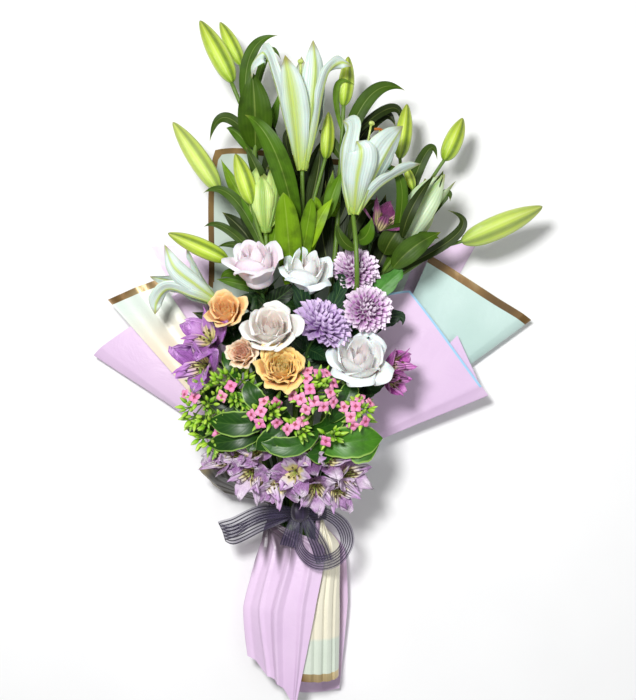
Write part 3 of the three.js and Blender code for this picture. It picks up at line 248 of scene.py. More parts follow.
class Value:
    """A value in a material; sums and products of values become Math nodes."""

    def __init__(self, paint, socket):
        self.paint, self.socket = paint, socket

    def __add__(self, other):
        return self.paint.math("ADD", self, other)

    def __sub__(self, other):
        return self.paint.math("SUBTRACT", self, other)

    def __rsub__(self, other):
        return self.paint.math("SUBTRACT", other, self)

    def __mul__(self, other):
        return self.paint.math("MULTIPLY", self, other)

    def __truediv__(self, other):
        return self.paint.math("DIVIDE", self, other)

    def __pow__(self, other):
        return self.paint.math("POWER", self, other)

    def __abs__(self):
        return self.paint.math("ABSOLUTE", self)


class Paint:
    """A node material round one Principled shader. Colours are RRGGBB codes or values."""

    def __init__(self, name, **sockets):
        self.material = bpy.data.materials.new(name)
        self.material.use_nodes = True
        self.tree = self.material.node_tree
        self.shader = self.tree.nodes["Principled BSDF"]
        for key, value in sockets.items():
            self.feed(self.shader, key.replace("_", " "), value)

    def feed(self, node, key, value):
        if isinstance(value, Value):
            self.tree.links.new(value.socket, node.inputs[key])
        else:
            node.inputs[key].default_value = colour(value) if isinstance(value, str) else value

    def node(self, kind, output, inputs=(), **settings):
        node = self.tree.nodes.new("ShaderNode" + kind)
        for key, value in settings.items():
            setattr(node, key, value)
        for key, value in dict(inputs).items():
            self.feed(node, key, value)
        return Value(self, node.outputs[output])

    @cached_property
    def place(self):
        return self.node("TexCoord", "Object")

    @cached_property
    def uv(self):
        return self.node("UVMap", "UV", uv_map="uv")

    @cached_property
    def u(self):
        return self.node("SeparateXYZ", "X", {"Vector": self.uv})

    @cached_property
    def v(self):
        return self.node("SeparateXYZ", "Y", {"Vector": self.uv})

    @cached_property
    def tone(self):
        return self.node("Attribute", "Fac", attribute_name="tone")

    @cached_property
    def edge(self):
        return self.node("Attribute", "Fac", attribute_name="edge")

    @cached_property
    def middle(self):
        """How far a point is from a blade's mid rib, 0 to 1."""
        return abs(self.u * 2.0 - 1.0)

    def math(self, operation, *values):
        return self.node("Math", 0, enumerate(values), operation=operation)

    def step(self, value, low, high):
        ends = {"Value": value, "From Min": low, "From Max": high}
        return self.node("MapRange", "Result", ends, interpolation_type="SMOOTHSTEP")

    def noise(self, scale, detail, rough=0.5, vector=None, distort=0.0):
        sockets = {"Scale": scale, "Detail": detail, "Roughness": rough, "Distortion": distort}
        return self.node("TexNoise", "Fac", {**sockets, "Vector": vector or self.place})

    def streaks(self, scale, detail, x, y, z):
        """Noise on the stretched uv map, with the tone as its third axis: petals differ."""
        parts = enumerate((self.u * x, self.v * y, self.tone * z))
        return self.noise(scale, detail, vector=self.node("CombineXYZ", 0, parts))

    def wave(self, value, lines):
        return self.math("SINE", value * (lines * math.tau)) * 0.5 + 0.5

    def ramp(self, factor, stops):
        """Colours at their places, such as "0 40702a, 1 6f9450"."""
        made = self.node("ValToRGB", "Color", {"Fac": factor})
        elements = made.socket.node.color_ramp.elements
        stops = [stop.split() for stop in stops.split(",")]
        while len(elements) < len(stops):
            elements.new(0.5)
        for element, (place, code) in zip(elements, stops):
            element.position, element.color = float(place), colour(code)
        return made

    def blend(self, factor, a, b):
        return self.node("Mix", 2, {0: factor, 6: a, 7: b}, data_type="RGBA")

    def tint(self, over, factor, depth=None):
        """Blends a colour into the base, or only this deep where a depth is given."""
        over = over if depth is None else self.blend(depth, self.base, over)
        self.base = self.blend(factor, self.base, over)

    def finish(self, height, strength, distance):
        bump = {"Height": height, "Strength": strength, "Distance": distance}
        self.feed(self.shader, "Normal", self.node("Bump", "Normal", bump))
        self.feed(self.shader, "Base Color", self.base)
        return self.material


def long_leaf_paint():
    p = Paint("lily_leaf", Roughness=0.46, Specular_IOR_Level=0.18)
    veins, rib = p.wave(p.u, 9), p.step(p.middle, 0.09, 0.0)
    # tone picks each leaf's green, from near black, painted shade for leaves set deep in the gaps
    # between the flowers, to lime.
    p.base = p.ramp(p.tone, "0 0e1904, 0.25 2a3c07, 0.5 48700c, 0.8 7ba212, 1 9cc01a")
    p.tint("d0dc70", veins * 0.12, 0.12)
    p.tint("203408", p.step(p.middle, 0.6, 1.0) * 0.45, 0.6)
    p.tint("c8d870", rib * 0.8, 0.22)
    p.tint("1c2a06", p.step(p.noise(60.0, 4.0), 0.45, 0.75), 0.5)
    p.tint("8c8f3c", p.step(p.v, 0.9, 1.0), 0.5)
    return p.finish(veins + rib * -1.5, 0.08, 0.0006)


def net_leaf_paint(name, codes, rough=0.45, rim=0.0, veined=0.3):
    """Side veins run forward from the mid rib."""
    dark, mid, light, vein = codes.split()
    p = Paint(name, Roughness=rough, Specular_IOR_Level=0.3)
    side = p.wave(p.v * 8.0 - p.middle * 2.24, 1) ** 8.0
    net = p.math("MAXIMUM", side * 0.45, p.step(p.middle, 0.08, 0.0))
    p.base = p.ramp(p.tone, f"0 {dark}, 0.5 {mid}, 1 {light}")
    p.tint(vein, net * veined)
    p.tint(dark, p.step(p.noise(90.0, 4.0), 0.4, 0.8), 0.45)
    if rim:
        p.tint("a3c860", p.step(p.middle, 0.84, 0.97) * rim)
    return p.finish(p.noise(700.0, 2.0) * 0.3 - net, veined, 0.0006)


def stem_paint(name, dark, light):
    p = Paint(name, Roughness=0.42)
    streaks = p.streaks(5.0, 3.0, 30.0, 6.0, 20.0)
    p.base = p.ramp(streaks, f"0.3 {dark}, 0.7 {light}")
    return p.finish(streaks, 0.3, 0.0005)


def speckled_paint(name, dark, light, scale, rough):
    p = Paint(name, Roughness=rough)
    speck = p.noise(scale, 3.0)
    p.base = p.ramp(speck, f"0.3 {dark}, 0.7 {light}")
    return p.finish(speck, 0.3, 0.0004)


def bud_paint():
    p = Paint("lily_bud", Roughness=0.3, Subsurface_Weight=0.05, Subsurface_Scale=0.003)
    seam, streaks = p.step(p.u, 0.3, 0.0), p.streaks(4.0, 4.0, 40.0, 3.0, 30.0)
    p.base = p.ramp(p.v, "0 567c14, 0.15 96bb20, 0.5 bfd838, 0.86 9aa828, 0.96 6e6420, 1 503c16")
    p.tint("3e6210", seam * 0.75)
    p.tint("5a8218", p.step(p.u, 0.84, 1.0) * 0.4)
    p.tint("e6efa0", p.step(p.u, 0.42, 0.58) * p.step(p.u, 0.78, 0.62) * 0.3)
    p.tint("e0eaa0", p.step(p.tone, 0.4, 1.0) * 0.4)
    p.tint("eef2b4", p.step(streaks, 0.5, 0.75), 0.35)
    return p.finish(streaks - seam, 0.4, 0.0008)


def lily_petal_paint(name, codes):
    """tone widens the coloured mid rib, up to a petal whose whole upper face has its colour."""
    root, low, body, rib_code, tip = codes.split()
    p = Paint(name, Roughness=0.42, Subsurface_Weight=0.12, Subsurface_Scale=0.003)
    veins = p.wave(p.u, 11)
    rib = p.step(1.0 - p.middle / (p.tone * 0.75 + 0.08), 0.0, 1.0) * 0.9
    p.base = p.ramp(p.v, f"0 {root}, 0.1 {low}, 0.28 {body}, 0.85 {body}, 1 {tip}")
    p.tint(rib_code, rib)
    p.tint("a9c0b0", veins * 0.14)
    p.tint("b4ccc4", p.step(p.streaks(4.0, 3.0, 24.0, 3.0, 40.0), 0.45, 0.7) * 0.28)
    p.tint(tip, p.step(p.v, 0.86, 1.0) * p.tone)
    p.tint("c3d07a", p.step(p.middle, 0.92, 1.0) * 0.4)
    return p.finish(veins + rib * -1.2, 0.35, 0.0007)


def rose_paint(name, codes, green=0.1):
    """tone runs from the outer petals, 0, to the heart, 1."""
    deep, body, lip, heart = codes.split()
    p = Paint(name, Roughness=0.55, Subsurface_Weight=0.25, Subsurface_Scale=0.006,
              Sheen_Weight=0.1)
    veins = p.streaks(6.0, 4.0, 16.0, 2.0, 60.0)
    # Along each petal: the deep colour at its foot is partly its own and partly painted shade deep
    # in the cup; the pale lip at its rim is partly its own and partly painted highlight.
    p.base = p.ramp(p.v, f"0 {deep}, 0.35 {body}, 0.85 {body}, 1 {lip}")
    p.tint(heart, p.step(p.tone, 0.35, 1.0) * 0.75)
    p.tint(deep, p.step(veins, 0.42, 0.7) * 0.3)
    p.tint(lip, p.step(p.noise(38.0, 2.0), 0.4, 0.7) * 0.3)
    p.tint("9fb060", p.step(p.v, 0.22, 0.02) * green)
    return p.finish(veins + p.noise(420.0, 3.0) * 0.4, 0.25, 0.0008)


def mum_paint(name, codes):
    deep, body, tip = codes.split()
    p = Paint(name, Roughness=0.55, Sheen_Weight=0.1)
    p.base = p.ramp(p.v, f"0 {deep}, 0.3 {deep}, 0.55 {body}, 0.85 {tip}, 1 {tip}")
    p.tint(tip, p.step(p.middle, 0.3, 1.0) * 0.6)
    p.tint(deep, p.step(p.streaks(3.0, 2.0, 2.0, 1.0, 90.0), 0.4, 0.7) * 0.15)
    return p.finish(p.wave(p.u, 3), 0.15, 0.0004)


def alstroemeria_paint(name, codes):
    """tone under 0.5 is a broad outer tepal, over 0.5 a striped inner one."""
    deep, body, pale = codes.split()
    p = Paint(name, Roughness=0.5, Sheen_Weight=0.1)
    inner, blotches = p.step(p.tone, 0.49, 0.51), p.noise(34.0, 3.0)
    veins = p.streaks(5.0, 4.0, 22.0, 3.0, 50.0)
    p.base = p.ramp(p.v, f"0 {deep}, 0.3 {body}, 0.8 {body}, 1 {pale}")
    p.tint(deep, p.step(veins, 0.42, 0.62) * 0.75)
    # Pale and dark blotches laid by noise over the tepals.
    p.tint(pale, p.step(blotches, 0.5, 0.7) * 0.6)
    p.tint(deep, p.step(blotches, 0.46, 0.34) * 0.5)
    p.tint(p.ramp(p.v, f"0 d8d08a, 0.4 efe3a0, 0.7 {pale}, 1 {body}"), inner)
    dashes = p.wave(p.u, 4) ** 3.0 * p.step(p.noise(9.0, 1.0), 0.35, 0.5)
    p.tint("3c0d33", dashes * p.step(p.v, 0.15, 0.3) * p.step(p.v, 0.95, 0.8) * inner)
    return p.finish(veins, 0.4, 0.0008)


def floret_paint():
    p = Paint("kalanchoe_floret", Roughness=0.5)
    streaks = p.streaks(5.0, 3.0, 12.0, 2.0, 60.0)
    p.base = p.ramp(p.tone, "0 e283b6, 0.5 ee9cc4, 1 f0a6a8")
    p.tint("a8485c", p.step(p.v, 0.3, 0.12))
    p.tint("f8c6d2", p.step(p.v, 0.75, 1.0) * 0.5)
    p.tint("b8386e", p.step(streaks, 0.45, 0.7) * 0.3)
    return p.finish(streaks, 0.3, 0.0004)


def small_bud_paint():
    p = Paint("kalanchoe_bud", Roughness=0.4)
    p.base = p.ramp(p.tone, "0 5a9412, 0.5 8ac222, 1 b8dc42")
    p.tint("cfe37c", p.step(p.v, 0.5, 1.0) * 0.5)
    return p.finish(p.noise(500.0, 2.0), 0.3, 0.0004)


# Ramps for the metal band, laid by noise: gold runs from dark brown to pale cream, and its pale
# cream patches are painted highlight on the foil.
GOLD_AND_GLINTS = "0.3 3f2c12, 0.5 806238, 0.68 e2cf9e"
BROWN = "0.3 3c2c14, 0.5 6a5230, 0.68 80683e"


def paper_paint(name, body, shade, inner=None, band=0, metal=GOLD_AND_GLINTS, rough=0.36, shine=0.45,
                line=None):
    """edge is the distance to an outer edge in millimetres; tone is the share of inner."""
    p = Paint(name, Roughness=rough, Specular_IOR_Level=shine)
    p.base = p.blend(p.step(p.noise(9.0, 3.0), 0.3, 0.75), body, shade)
    if inner:
        p.tint(inner, p.tone)
    if band:
        on = p.step(p.edge, band + 0.3, band - 0.3)
        # The band takes its ramp by noise; in the gold ramp the pale cream patches are painted
        # highlight.
        p.tint(p.ramp(p.noise(11.0, 2.0), metal), on)
        p.feed(p.shader, "Metallic", on * 0.35)
    if line:
        p.tint(line, p.step(p.u, 0.596, 0.6) * p.step(p.edge, 2.8, 2.4))
    crease = p.noise(28.0, 5.0, 0.6, distort=0.6)
    return p.finish(crease + p.noise(900.0, 2.0) * 0.04, 0.35, 0.003)


def sheer_paint(name, cloth, satin, veil):
    """Organza with six satin stripes along it."""
    p = Paint(name, Roughness=0.4, Sheen_Weight=0.3)
    stripe, weave = p.step(p.wave(p.u, 6), 0.6, 0.75), p.streaks(6.0, 2.0, 150.0, 900.0, 5.0)
    p.base = p.blend(stripe, cloth, satin)
    p.tint("17121f", weave * 0.4)
    p.feed(p.shader, "Alpha", stripe * (0.95 - veil) + veil)
    return p.finish(weave + stripe, 0.3, 0.0004)


LONG_LEAF = long_leaf_paint()
ROSE_LEAF = net_leaf_paint("rose_leaf", "0c1a0a 204018 40702a 6f9450")
MUM_LEAF = net_leaf_paint("mum_leaf", "0a1c10 1a4424 4a8a2e 78a456")
FLESHY_LEAF = net_leaf_paint("kalanchoe_leaf", "0e2808 24520f 4e8c1c 7ea848", 0.36, 0.7, 0.14)
STEM = stem_paint("stem_green", "3a5c1a", "74942f")
DARK_STEM = stem_paint("stem_dark", "203a18", "46692c")
BUD = bud_paint()
LILY = lily_petal_paint("lily_petal", "a3bd3c bdd280 ceddd6 b0c430 86822c")
LIME_LILY = lily_petal_paint("lily_petal_lime", "7fa31c a6c442 c2d872 86ac26 7a8a2c")
PALE_LILY = lily_petal_paint("lily_petal_pale", "86a82e a9c466 c6daae 98b858 8a8a34")
ANTHER = speckled_paint("lily_anther", "7a3a14", "c8772c", 900.0, 0.8)
DARK_ANTHER = speckled_paint("alstroemeria_anther", "3c3020", "6e5a34", 900.0, 0.8)
PISTIL = speckled_paint("lily_pistil", "9bb040", "cfdc86", 400.0, 0.4)
BLUSH = rose_paint("rose_blush", "e6c8d2 f8e8f0 faf2f6 f4d4e0", 0.6)
MINTY = rose_paint("rose_minty", "d6d8d0 f4f2f0 f4faf8 f6e2e4", 0.5)
CREAM = rose_paint("rose_cream", "ecd8c8 f8f0ea fbf8f2 f6e4dc", 0.3)
ORANGE = rose_paint("rose_orange", "f09838 ffcc88 ffe0ae fabc68")
APRICOT = rose_paint("rose_apricot", "f4a848 ffcf80 ffe29c ffee9c")
PEACH = rose_paint("rose_peach", "f0b088 fcdab8 fff0d8 f8b8a0")
LILAC = mum_paint("mum_lilac", "8c5ea2 c6a2d8 e4d0f0")
VIOLET = mum_paint("mum_violet", "742a70 c68cc8 fbeefb")
PURPLE = alstroemeria_paint("alstroemeria_purple", "642a76 ae6cbe d8a8e2")
MAGENTA = alstroemeria_paint("alstroemeria_magenta", "861e7a c45cba e09cd8")
PLUM = alstroemeria_paint("alstroemeria_plum", "34102c 7c2c68 b4609a")
LAVENDER = alstroemeria_paint("alstroemeria_lavender", "4a1c50 be90c6 ece0ec")
FLORET = floret_paint()
SMALL_BUD = small_bud_paint()
PINK = ("e4cae6", "dabede")
PINK_PAPER = paper_paint("pink_paper", *PINK)
HANDLE_PAPER = paper_paint("pink_paper_shaded", *PINK, "2c1e26")
PINK_EDGED = paper_paint("pink_paper_edged", *PINK, line="9ccbea")
MINT_PAPER = paper_paint("mint_paper", "c8e0da", "b8d4cc", "ebe6d0", 9)
TOP_PAPER = paper_paint("mint_paper_back", "bcd2cc", "a4bcb4", "d4cfba", 9, BROWN, 0.6, 0.15)
CREAM_PAPER = paper_paint("cream_paper", "d2e2da", "e0eae0", "f3e4cc", 8)
# The collar is cream paper deep in the shade under the flowers: its near-black colours are painted
# shade.
COLLAR_PAPER_IN_SHADE = paper_paint("collar_paper_painted_shade", "3c3220", "1e180e", "8f8058")
SHEER = sheer_paint("ribbon_organza", "50446c", "1c1430", 0.46)
KNOT_CLOTH = sheer_paint("ribbon_knot", "1e1428", "42325a", 0.9)


# Tables of points in millimetres, read off the photo. The first row of a flower is its
# foot, axis and other facts, and that of a stem its head and axis; the rows after it are its
# parts.
def read(text):
    """Rows of points under their names; a comma parts the points of a row."""
    found = {}
    for line in text.strip().splitlines():
        if line[0].isalpha():
            rows = found[line] = []
        else:
            rows.append([[float(n) for n in point.split()] for point in line.split(",")])
    return found


# Foot, axis, length, pistil, anthers; then tepals: width and tone, outward, mid rib.
FLOWERS = read("""
lily_flower_centre
8 388 113, 0.02 0.97 0.22, 134, 6 500 134, -2 476 132, 10 482 130, 16 472 126, 4 470 122
34 0.15, 0 -0.1 -1, 6 384 108, 8 450 92, 7 512 100
34 0.25, 0.8 0 -0.6, 10 384 110, 24 440 104, 32 500 112
26 0.15, -1 0 0.25, 4 384 114, -10 436 128, -22 482 138, -33 508 138, -46 496 133, -47 482 128
27 0.4, 0.35 0 1, 9 384 117, 17 440 130, 22 490 138, 20 522 139
21 0.5, 1 0 0.35, 12 384 113, 24 432 126, 30 466 140, 38 488 147, 50 496 146, 63 493 142
36 0.1, 0.6 0 0.7, 9 384 114, 15 430 120, 22 470 124, 27 504 122
31 1, -0.3 0 1, 5 384 117, 1 430 136, -4 470 150, -10 502 158
lily_flower_right
64 338 134, 0.26 0.9 0.28, 104, 83 432 140, 92 424 142, 86 414 132, 96 410 130
38 0.1, 0 -0.1 -1, 62 334 128, 70 370 114, 78 404 106
27 0.3, 0.75 -0.8 0.2, 68 334 132, 90 362 140, 116 379 140, 137 389 132
38 0.06, -1 0.1 0.5, 60 334 134, 53 368 146, 53 402 153, 58 427 150, 52 434 142
44 0.1, 0.75 -0.35 0.9, 68 334 136, 84 372 148, 101 404 150, 117 429 140
34 0.22, -0.1 -0.3 1, 64 334 138, 67 370 162, 71 398 172, 66 409 166
lily_flower_left
-86 238 108, -0.86 0.46 0.1, 84, -130 256 106, -126 260 108, -124 264 104
26 0.2, 0 0 -1, -84 238 104, -110 254 92, -136 264 92
20 0.5, 0.5 1 -0.3, -84 240 108, -100 262 104, -112 284 102, -120 300 104
22 0.35, 0 -1 0.5, -84 236 108, -112 246 116, -140 254 114, -152 240 112, -154 226 110
22 0.3, -0.3 0.3 1, -84 240 110, -108 258 122, -130 276 128, -142 302 126
22 0.3, -0.3 0.6 -0.4, -84 240 108, -112 254 102, -140 264 104, -160 268 108
lily_flower_far_right
112 291 86, 0.58 0.81 0.04, 98, 140 345 92
34 0.3, -0.4 0.4 -0.8, 112 290 84, 128 322 80, 143 350 82, 144.63 378.82 88
28 0.4, 0.8 -0.5 0.3, 114 290 86, 134 318 92, 156 344 94, 178.82 375 92
36 0.3, -0.1 0 1, 112 292 88, 126 326 106, 146 358 110, 165.53 381.33 104
lily_flower_small
-32 318 126, -0.05 0.99 0.06, 66, -33 352 124
34 1, 0 0 -1, -32 316 122, -30 346 116, -34 380 120
27 0.5, -0.7 0 0.6, -34 316 126, -46 342 130, -48 368 132, -42 386 128
27 0.7, 0.7 0 0.7, -29 316 128, -22 342 132, -20 366 132, -27 384 126
25 0.6, 0 0 1, -32 314 130, -34 338 140, -35 360 142, -36 376 136
""")

# Head, axis, wilt; then florets: foot, axis, size and turn and spread.
FLORETS = read("""
alstroemeria_left
-88 176 104, -0.5 0.6 0.62, 1.7
-89 194 112, -0.3 0.35 0.88, 37 0.3 0.62
-94 170 114, -0.4 0.05 0.9, 38 1 0.62
alstroemeria_right
96 160 108, 0.6 0.4 0.5, 0.4
95 168 112, 0.8 0.2 0.56, 38 0.2 0.34
94 157 108, 0.7 -0.2 0.66, 36 0.9 0.34
alstroemeria_top
84 306 88, 0.2 0.9 0.3, 0.6
90 314 92, 0.35 0.75 0.5, 38 0.5 0.62
alstroemeria_low_left
-44 48 98, -0.55 0.3 0.75, 1.3
-66 62 102, -0.7 0.3 0.6, 35 0.2 0.55
-45 55 106, -0.2 -0.2 0.95, 33 0.9 0.6
-40 70 110, -0.2 0.4 0.85, 33 0.5 0.6
-64 68 98, -0.5 0.3 0.8, 28 0 0.55
-32 48 106, 0.1 -0.3 0.9, 30 1.3 0.6
-56 68 106, -0.4 0.2 0.9, 30 0.7 0.6
alstroemeria_low_right
24 44 102, 0.2 0.3 0.9, 1.3
2 54 108, -0.15 -0.05 0.95, 35 0.1 0.6
32 64 108, 0.3 0.3 0.9, 34 0.6 0.6
48 50 100, 0.6 0 0.75, 35 1.1 0.55
22 42 100, 0 -0.4 0.85, 34 0.4 0.6
-14 46 106, -0.2 -0.4 0.85, 32 0.9 0.6
16 68 112, 0 0.2 0.9, 30 0.2 0.6
42 38 98, 0.35 -0.4 0.8, 30 0.8 0.6
""")

# Head, axis; then clusters: centre, axis, radius and florets and buds and turn.
CLUSTERS = read("""
kalanchoe_left
-72 126 112, -0.4 0.5 0.76
-64 144 126, 0.1 0.2 0.95, 22 2 7 0
-98 130 114, -0.3 0 0.95, 24 2 8 1
-84 100 112, -0.2 -0.3 0.9, 22 1 7 2
kalanchoe_centre_left
-30 112 138, -0.05 0.4 0.9
-30 119 148, 0 0 1, 17 6 1 0.5
kalanchoe_centre
12 118 144, 0.05 0.4 0.9
20 141 154, 0.1 0.2 0.97, 25 14 1 0
2 104 150, 0 -0.1 0.98, 11 3 1 1.4
kalanchoe_right
56 108 124, 0.3 0.3 0.9
65 121 136, 0.25 0.1 0.95, 18 8 1 0.8
38 92 142, 0.1 -0.3 0.95, 8 1 1 0.2
""")

# Head, axis, joined or not, way; then buds: width and tone, tip, share of the stem
# where the side stem starts, its way to the bud's foot.
LILY_STEMS = read("""
lily_stem_left_top
-71 485 94, -0.35 0.9 0, 1, -14 120 66, -26 250 84, -40 380 90, -58 446 92
23 0.3, -106 553 95, 0, -71 487 95
17 0.3, -85 556 74, 0.93, -62 509 76
lily_stem_centre
8 388 113, 0.02 0.97 0.22, 0, 0 120 74, -1 230 96, 0 310 108
16 0.3, 37 452 92, 0.76, 34 402 92
lily_stem_right_top
54 463 90, 0.05 0.99 0, 1, 18 120 64, 40 250 80, 48 350 86, 51 420 88
18 0.3, 59 514 90, 0, 53.6 461 90
lily_stem_right_flower
64 338 134, 0.26 0.9 0.28, 0, 26 90 82, 50 180 104, 64 236 132, 66 280 153
lily_stem_far_right
112 291 86, 0.58 0.81 0.04, 0, 34 90 62, 66 180 72, 92 245 79
19 0.3, 125 463 80, 0.9, 118 280 68, 122 340 64, 117 404 80
21 0.3, 188 448 75, 0.92, 126 300 66, 146 366 66, 168 402 75
11 0.3, 122 390 104, 0.94, 118 304 98, 130 344 96, 130 366 100
27 0.7, 277 348 80, 0.88, 132 280 82, 160 300 80, 190 310 80
lily_stem_left
-32 318 126, -0.05 0.99 0.06, 0, -22 110 76, -32 200 94, -34 270 112
23 0.7, -134 437 115, 0.9, -56 338 112, -86 365 110
20 0.3, -64 399 140, 0.94, -42 326 132, -47 347 136
20 0.3, -138 314 128, 0.8, -56 266 108, -76 286 116
0 0, 0 0 0, 0.68, -56 216 100, -74 232 106, -84 237 108
""")

# Width and tone, root, a point on the way, tip. A root that is one number is a share of the
# stem; one that is three is a pixel and a height, as are that row's other points.
# A tone near 0 is painted shade: a near-black leaf set low in the gaps between the flowers.
LEAVES = read("""
lily_stem_left_top
38 0.36, 0.84, -44 452 116, -47 492 122
15 0.4, 0.94, -50 513 97, -19 535 100
9 0.4, 0.93, -33 515 84, -16 511 82
12 0.3, 0.88, -78 446 90, -95 418 95
14 0.5, 0.82, -28 440 80, -18 478 76
17 0.7, 0.66, -62 360 78, -84 402 74
15 0.3, 264 190 92, 257 170 98, 245 146 98
22 0.08, 268 250 84, 250 218 86, 246 182 84
20 0.12, 266 262 80, 244 232 78, 222 212 74
16 0.1, 262 180 84, 272 150 84, 270 118 84
14 0.45, 258 160 84, 240 136 80, 226 128 78
18 0.1, 272 280 84, 262 240 88, 268 200 86
lily_stem_centre
24 0.45, 0.84, -20 398 146, -54 441 140
28 0.7, 0.7, -8 322 136, -12 356 150
17 0.62, 0.7, 14 322 132, 18 350 146
15 0.7, 0.72, 22 326 116, 21 354 124
18 0.15, 0.78, 22 370 92, 27 412 92
16 0.15, 0.74, -18 360 98, -26 412 92
16 0.85, 308 250 120, 318 222 130, 333 198 128
15 0.55, 326 220 112, 333 194 118, 343 171 114
8 0.05, 298 176 100, 286 138 118, 300 129 116
24 0.03, 298 262 84, 302 218 88, 316 178 84
20 0.06, 292 250 84, 284 206 90, 287 160 86
18 0.12, 304 210 84, 312 172 88, 323 138 84
16 0.2, 300 240 92, 320 212 96, 330 184 90
14 0.45, 280 232 110, 268 208 122, 276 184 122
13 0.25, 296 200 100, 280 176 108, 266 168 104
lily_stem_right_top
18 0.35, 0.9, 82 467 102, 122 475 95
11 0.1, 0.93, 105 458 78, 118 436 74
15 0, 0.86, 92 448 70, 113 438 68
7 0.6, 0.95, 46 478 100, 66 480 102
17 0.6, 0.72, 40 352 102, 42 386 106
15 0.1, 0.7, 70 380 84, 84 410 80
28 0, 312 268 64, 314 222 62, 310 172 60
28 0, 330 262 60, 336 218 58, 338 168 56
24 0.02, 318 232 62, 326 196 60, 330 150 58
26 0, 346 262 58, 350 226 58, 352 180 56
20 0.04, 336 262 78, 341 214 80, 346 160 78
22 0.05, 330 270 80, 322 226 82, 326 180 80
14 0.25, 340 180 84, 352 156 88, 366 146 84
12 0.3, 342 160 84, 330 140 86, 318 130 84
lily_stem_right_flower
17 0.45, 0.9, 78 312 128, 84 332 122
12 0.3, 0.86, 52 306 134, 46 326 128
lily_stem_far_right
20 0.4, 0.95, 132 306 98, 160 311 95
12 0.25, 0.98, 146 350 106, 164 386 100
15 0.3, 0.98, 158 352 92, 172 352 92
14 0.3, 0.96, 140 396 94, 158 398 92
13 0.4, 0.97, 117 362 122, 91 386 126
12 0.2, 0.93, 180 316 86, 169 343 88
28 0, 360 272 56, 368 240 54, 370 204 54
26 0.02, 376 272 54, 388 244 54, 392 206 52
26 0.28, 384 254 100, 393 237 112, 405 222 106
25 0.36, 393 268 118, 414 247 126, 441 232 118
13 0.14, 402 238 114, 413 206 130, 436 173 120
24 0.03, 352 266 78, 355 234 80, 367 198 78
24 0.05, 366 266 78, 376 230 80, 386 194 78
22 0.04, 374 274 80, 387 246 84, 398 212 80
16 0.25, 350 240 84, 362 212 90, 380 200 86
lily_stem_left
13 0.35, 0.93, -66 352 120, -100 358 124
10 0.3, 0.9, -72 318 112, -100 322 114
12 0.4, 0.86, -66 272 106, -82 266 100
17 0.6, 0.92, -18 352 112, -30 398 108
26 0, 284 262 64, 276 216 62, 268 168 60
26 0, 294 262 62, 296 214 60, 294 160 58
26 0.03, 272 272 64, 256 234 60, 242 202 58
18 0.05, 296 200 66, 300 168 66, 308 132 64
9 0.3, 262 246 106, 236 202 114, 212 192 106
10 0.3, 262 262 100, 240 246 104, 217 247 100
13 0.45, 262 290 98, 240 284 104, 216 279 100
12 0.5, 262 232 116, 250 210 124, 240 196 122
20 0.1, 258 330 80, 222 322 78, 192 312 74
mum_stem
18 0.2, 0.9, 6 252 134, -4 262 142
18 0.3, 0.9, 48 250 126, 44 268 140
24 0.95, 0.86, 92 252 116, 118 274 118
22 0.15, 0.84, 96 220 112, 118 214 112
20 0.2, 0.8, 44 180 116, 34 176 140
kalanchoe_left
24 0.6, 0.86, -56 116 128, -44 130 140
24 0.3, 0.84, -66 96 106, -96 84 108
26 0.2, 0.8, -96 102 92, -122 100 92
32 0.25, 250 404 110, 224 400 115, 198 398 108
24 0.2, 240 424 108, 216 428 112, 196 430 104
20 0.75, 262 424 130, 248 408 138, 225 392 128
28 0.3, 268 418 138, 240 424 148, 208 420 134
22 0.2, 262 432 132, 236 440 142, 206 444 126
16 0.5, 240 380 134, 232 366 140, 222 352 132
kalanchoe_centre_left
24 0.7, 0.88, -44 128 142, -52 146 148
22 0.35, 0.82, -14 104 132, -8 122 146
24 0.4, 0.8, -40 92 132, -50 76 140
22 0.35, 278 412 140, 256 400 158, 248 380 152
kalanchoe_centre
24 0.5, 0.84, -6 86 144, -36 88 150
22 0.5, 0.82, 40 108 136, 44 134 142
22 0.55, 318 432 140, 290 447 152, 258 438 144
22 0.35, 296 420 140, 274 436 150, 256 450 140
22 0.3, 330 422 140, 346 400 148, 352 380 140
kalanchoe_right
38 0.75, 0.84, 66 84 132, 92 84 126
26 0.5, 0.8, 34 78 124, 12 74 142
36 0.8, 316 446 128, 350 442 138, 383 438 126
""")

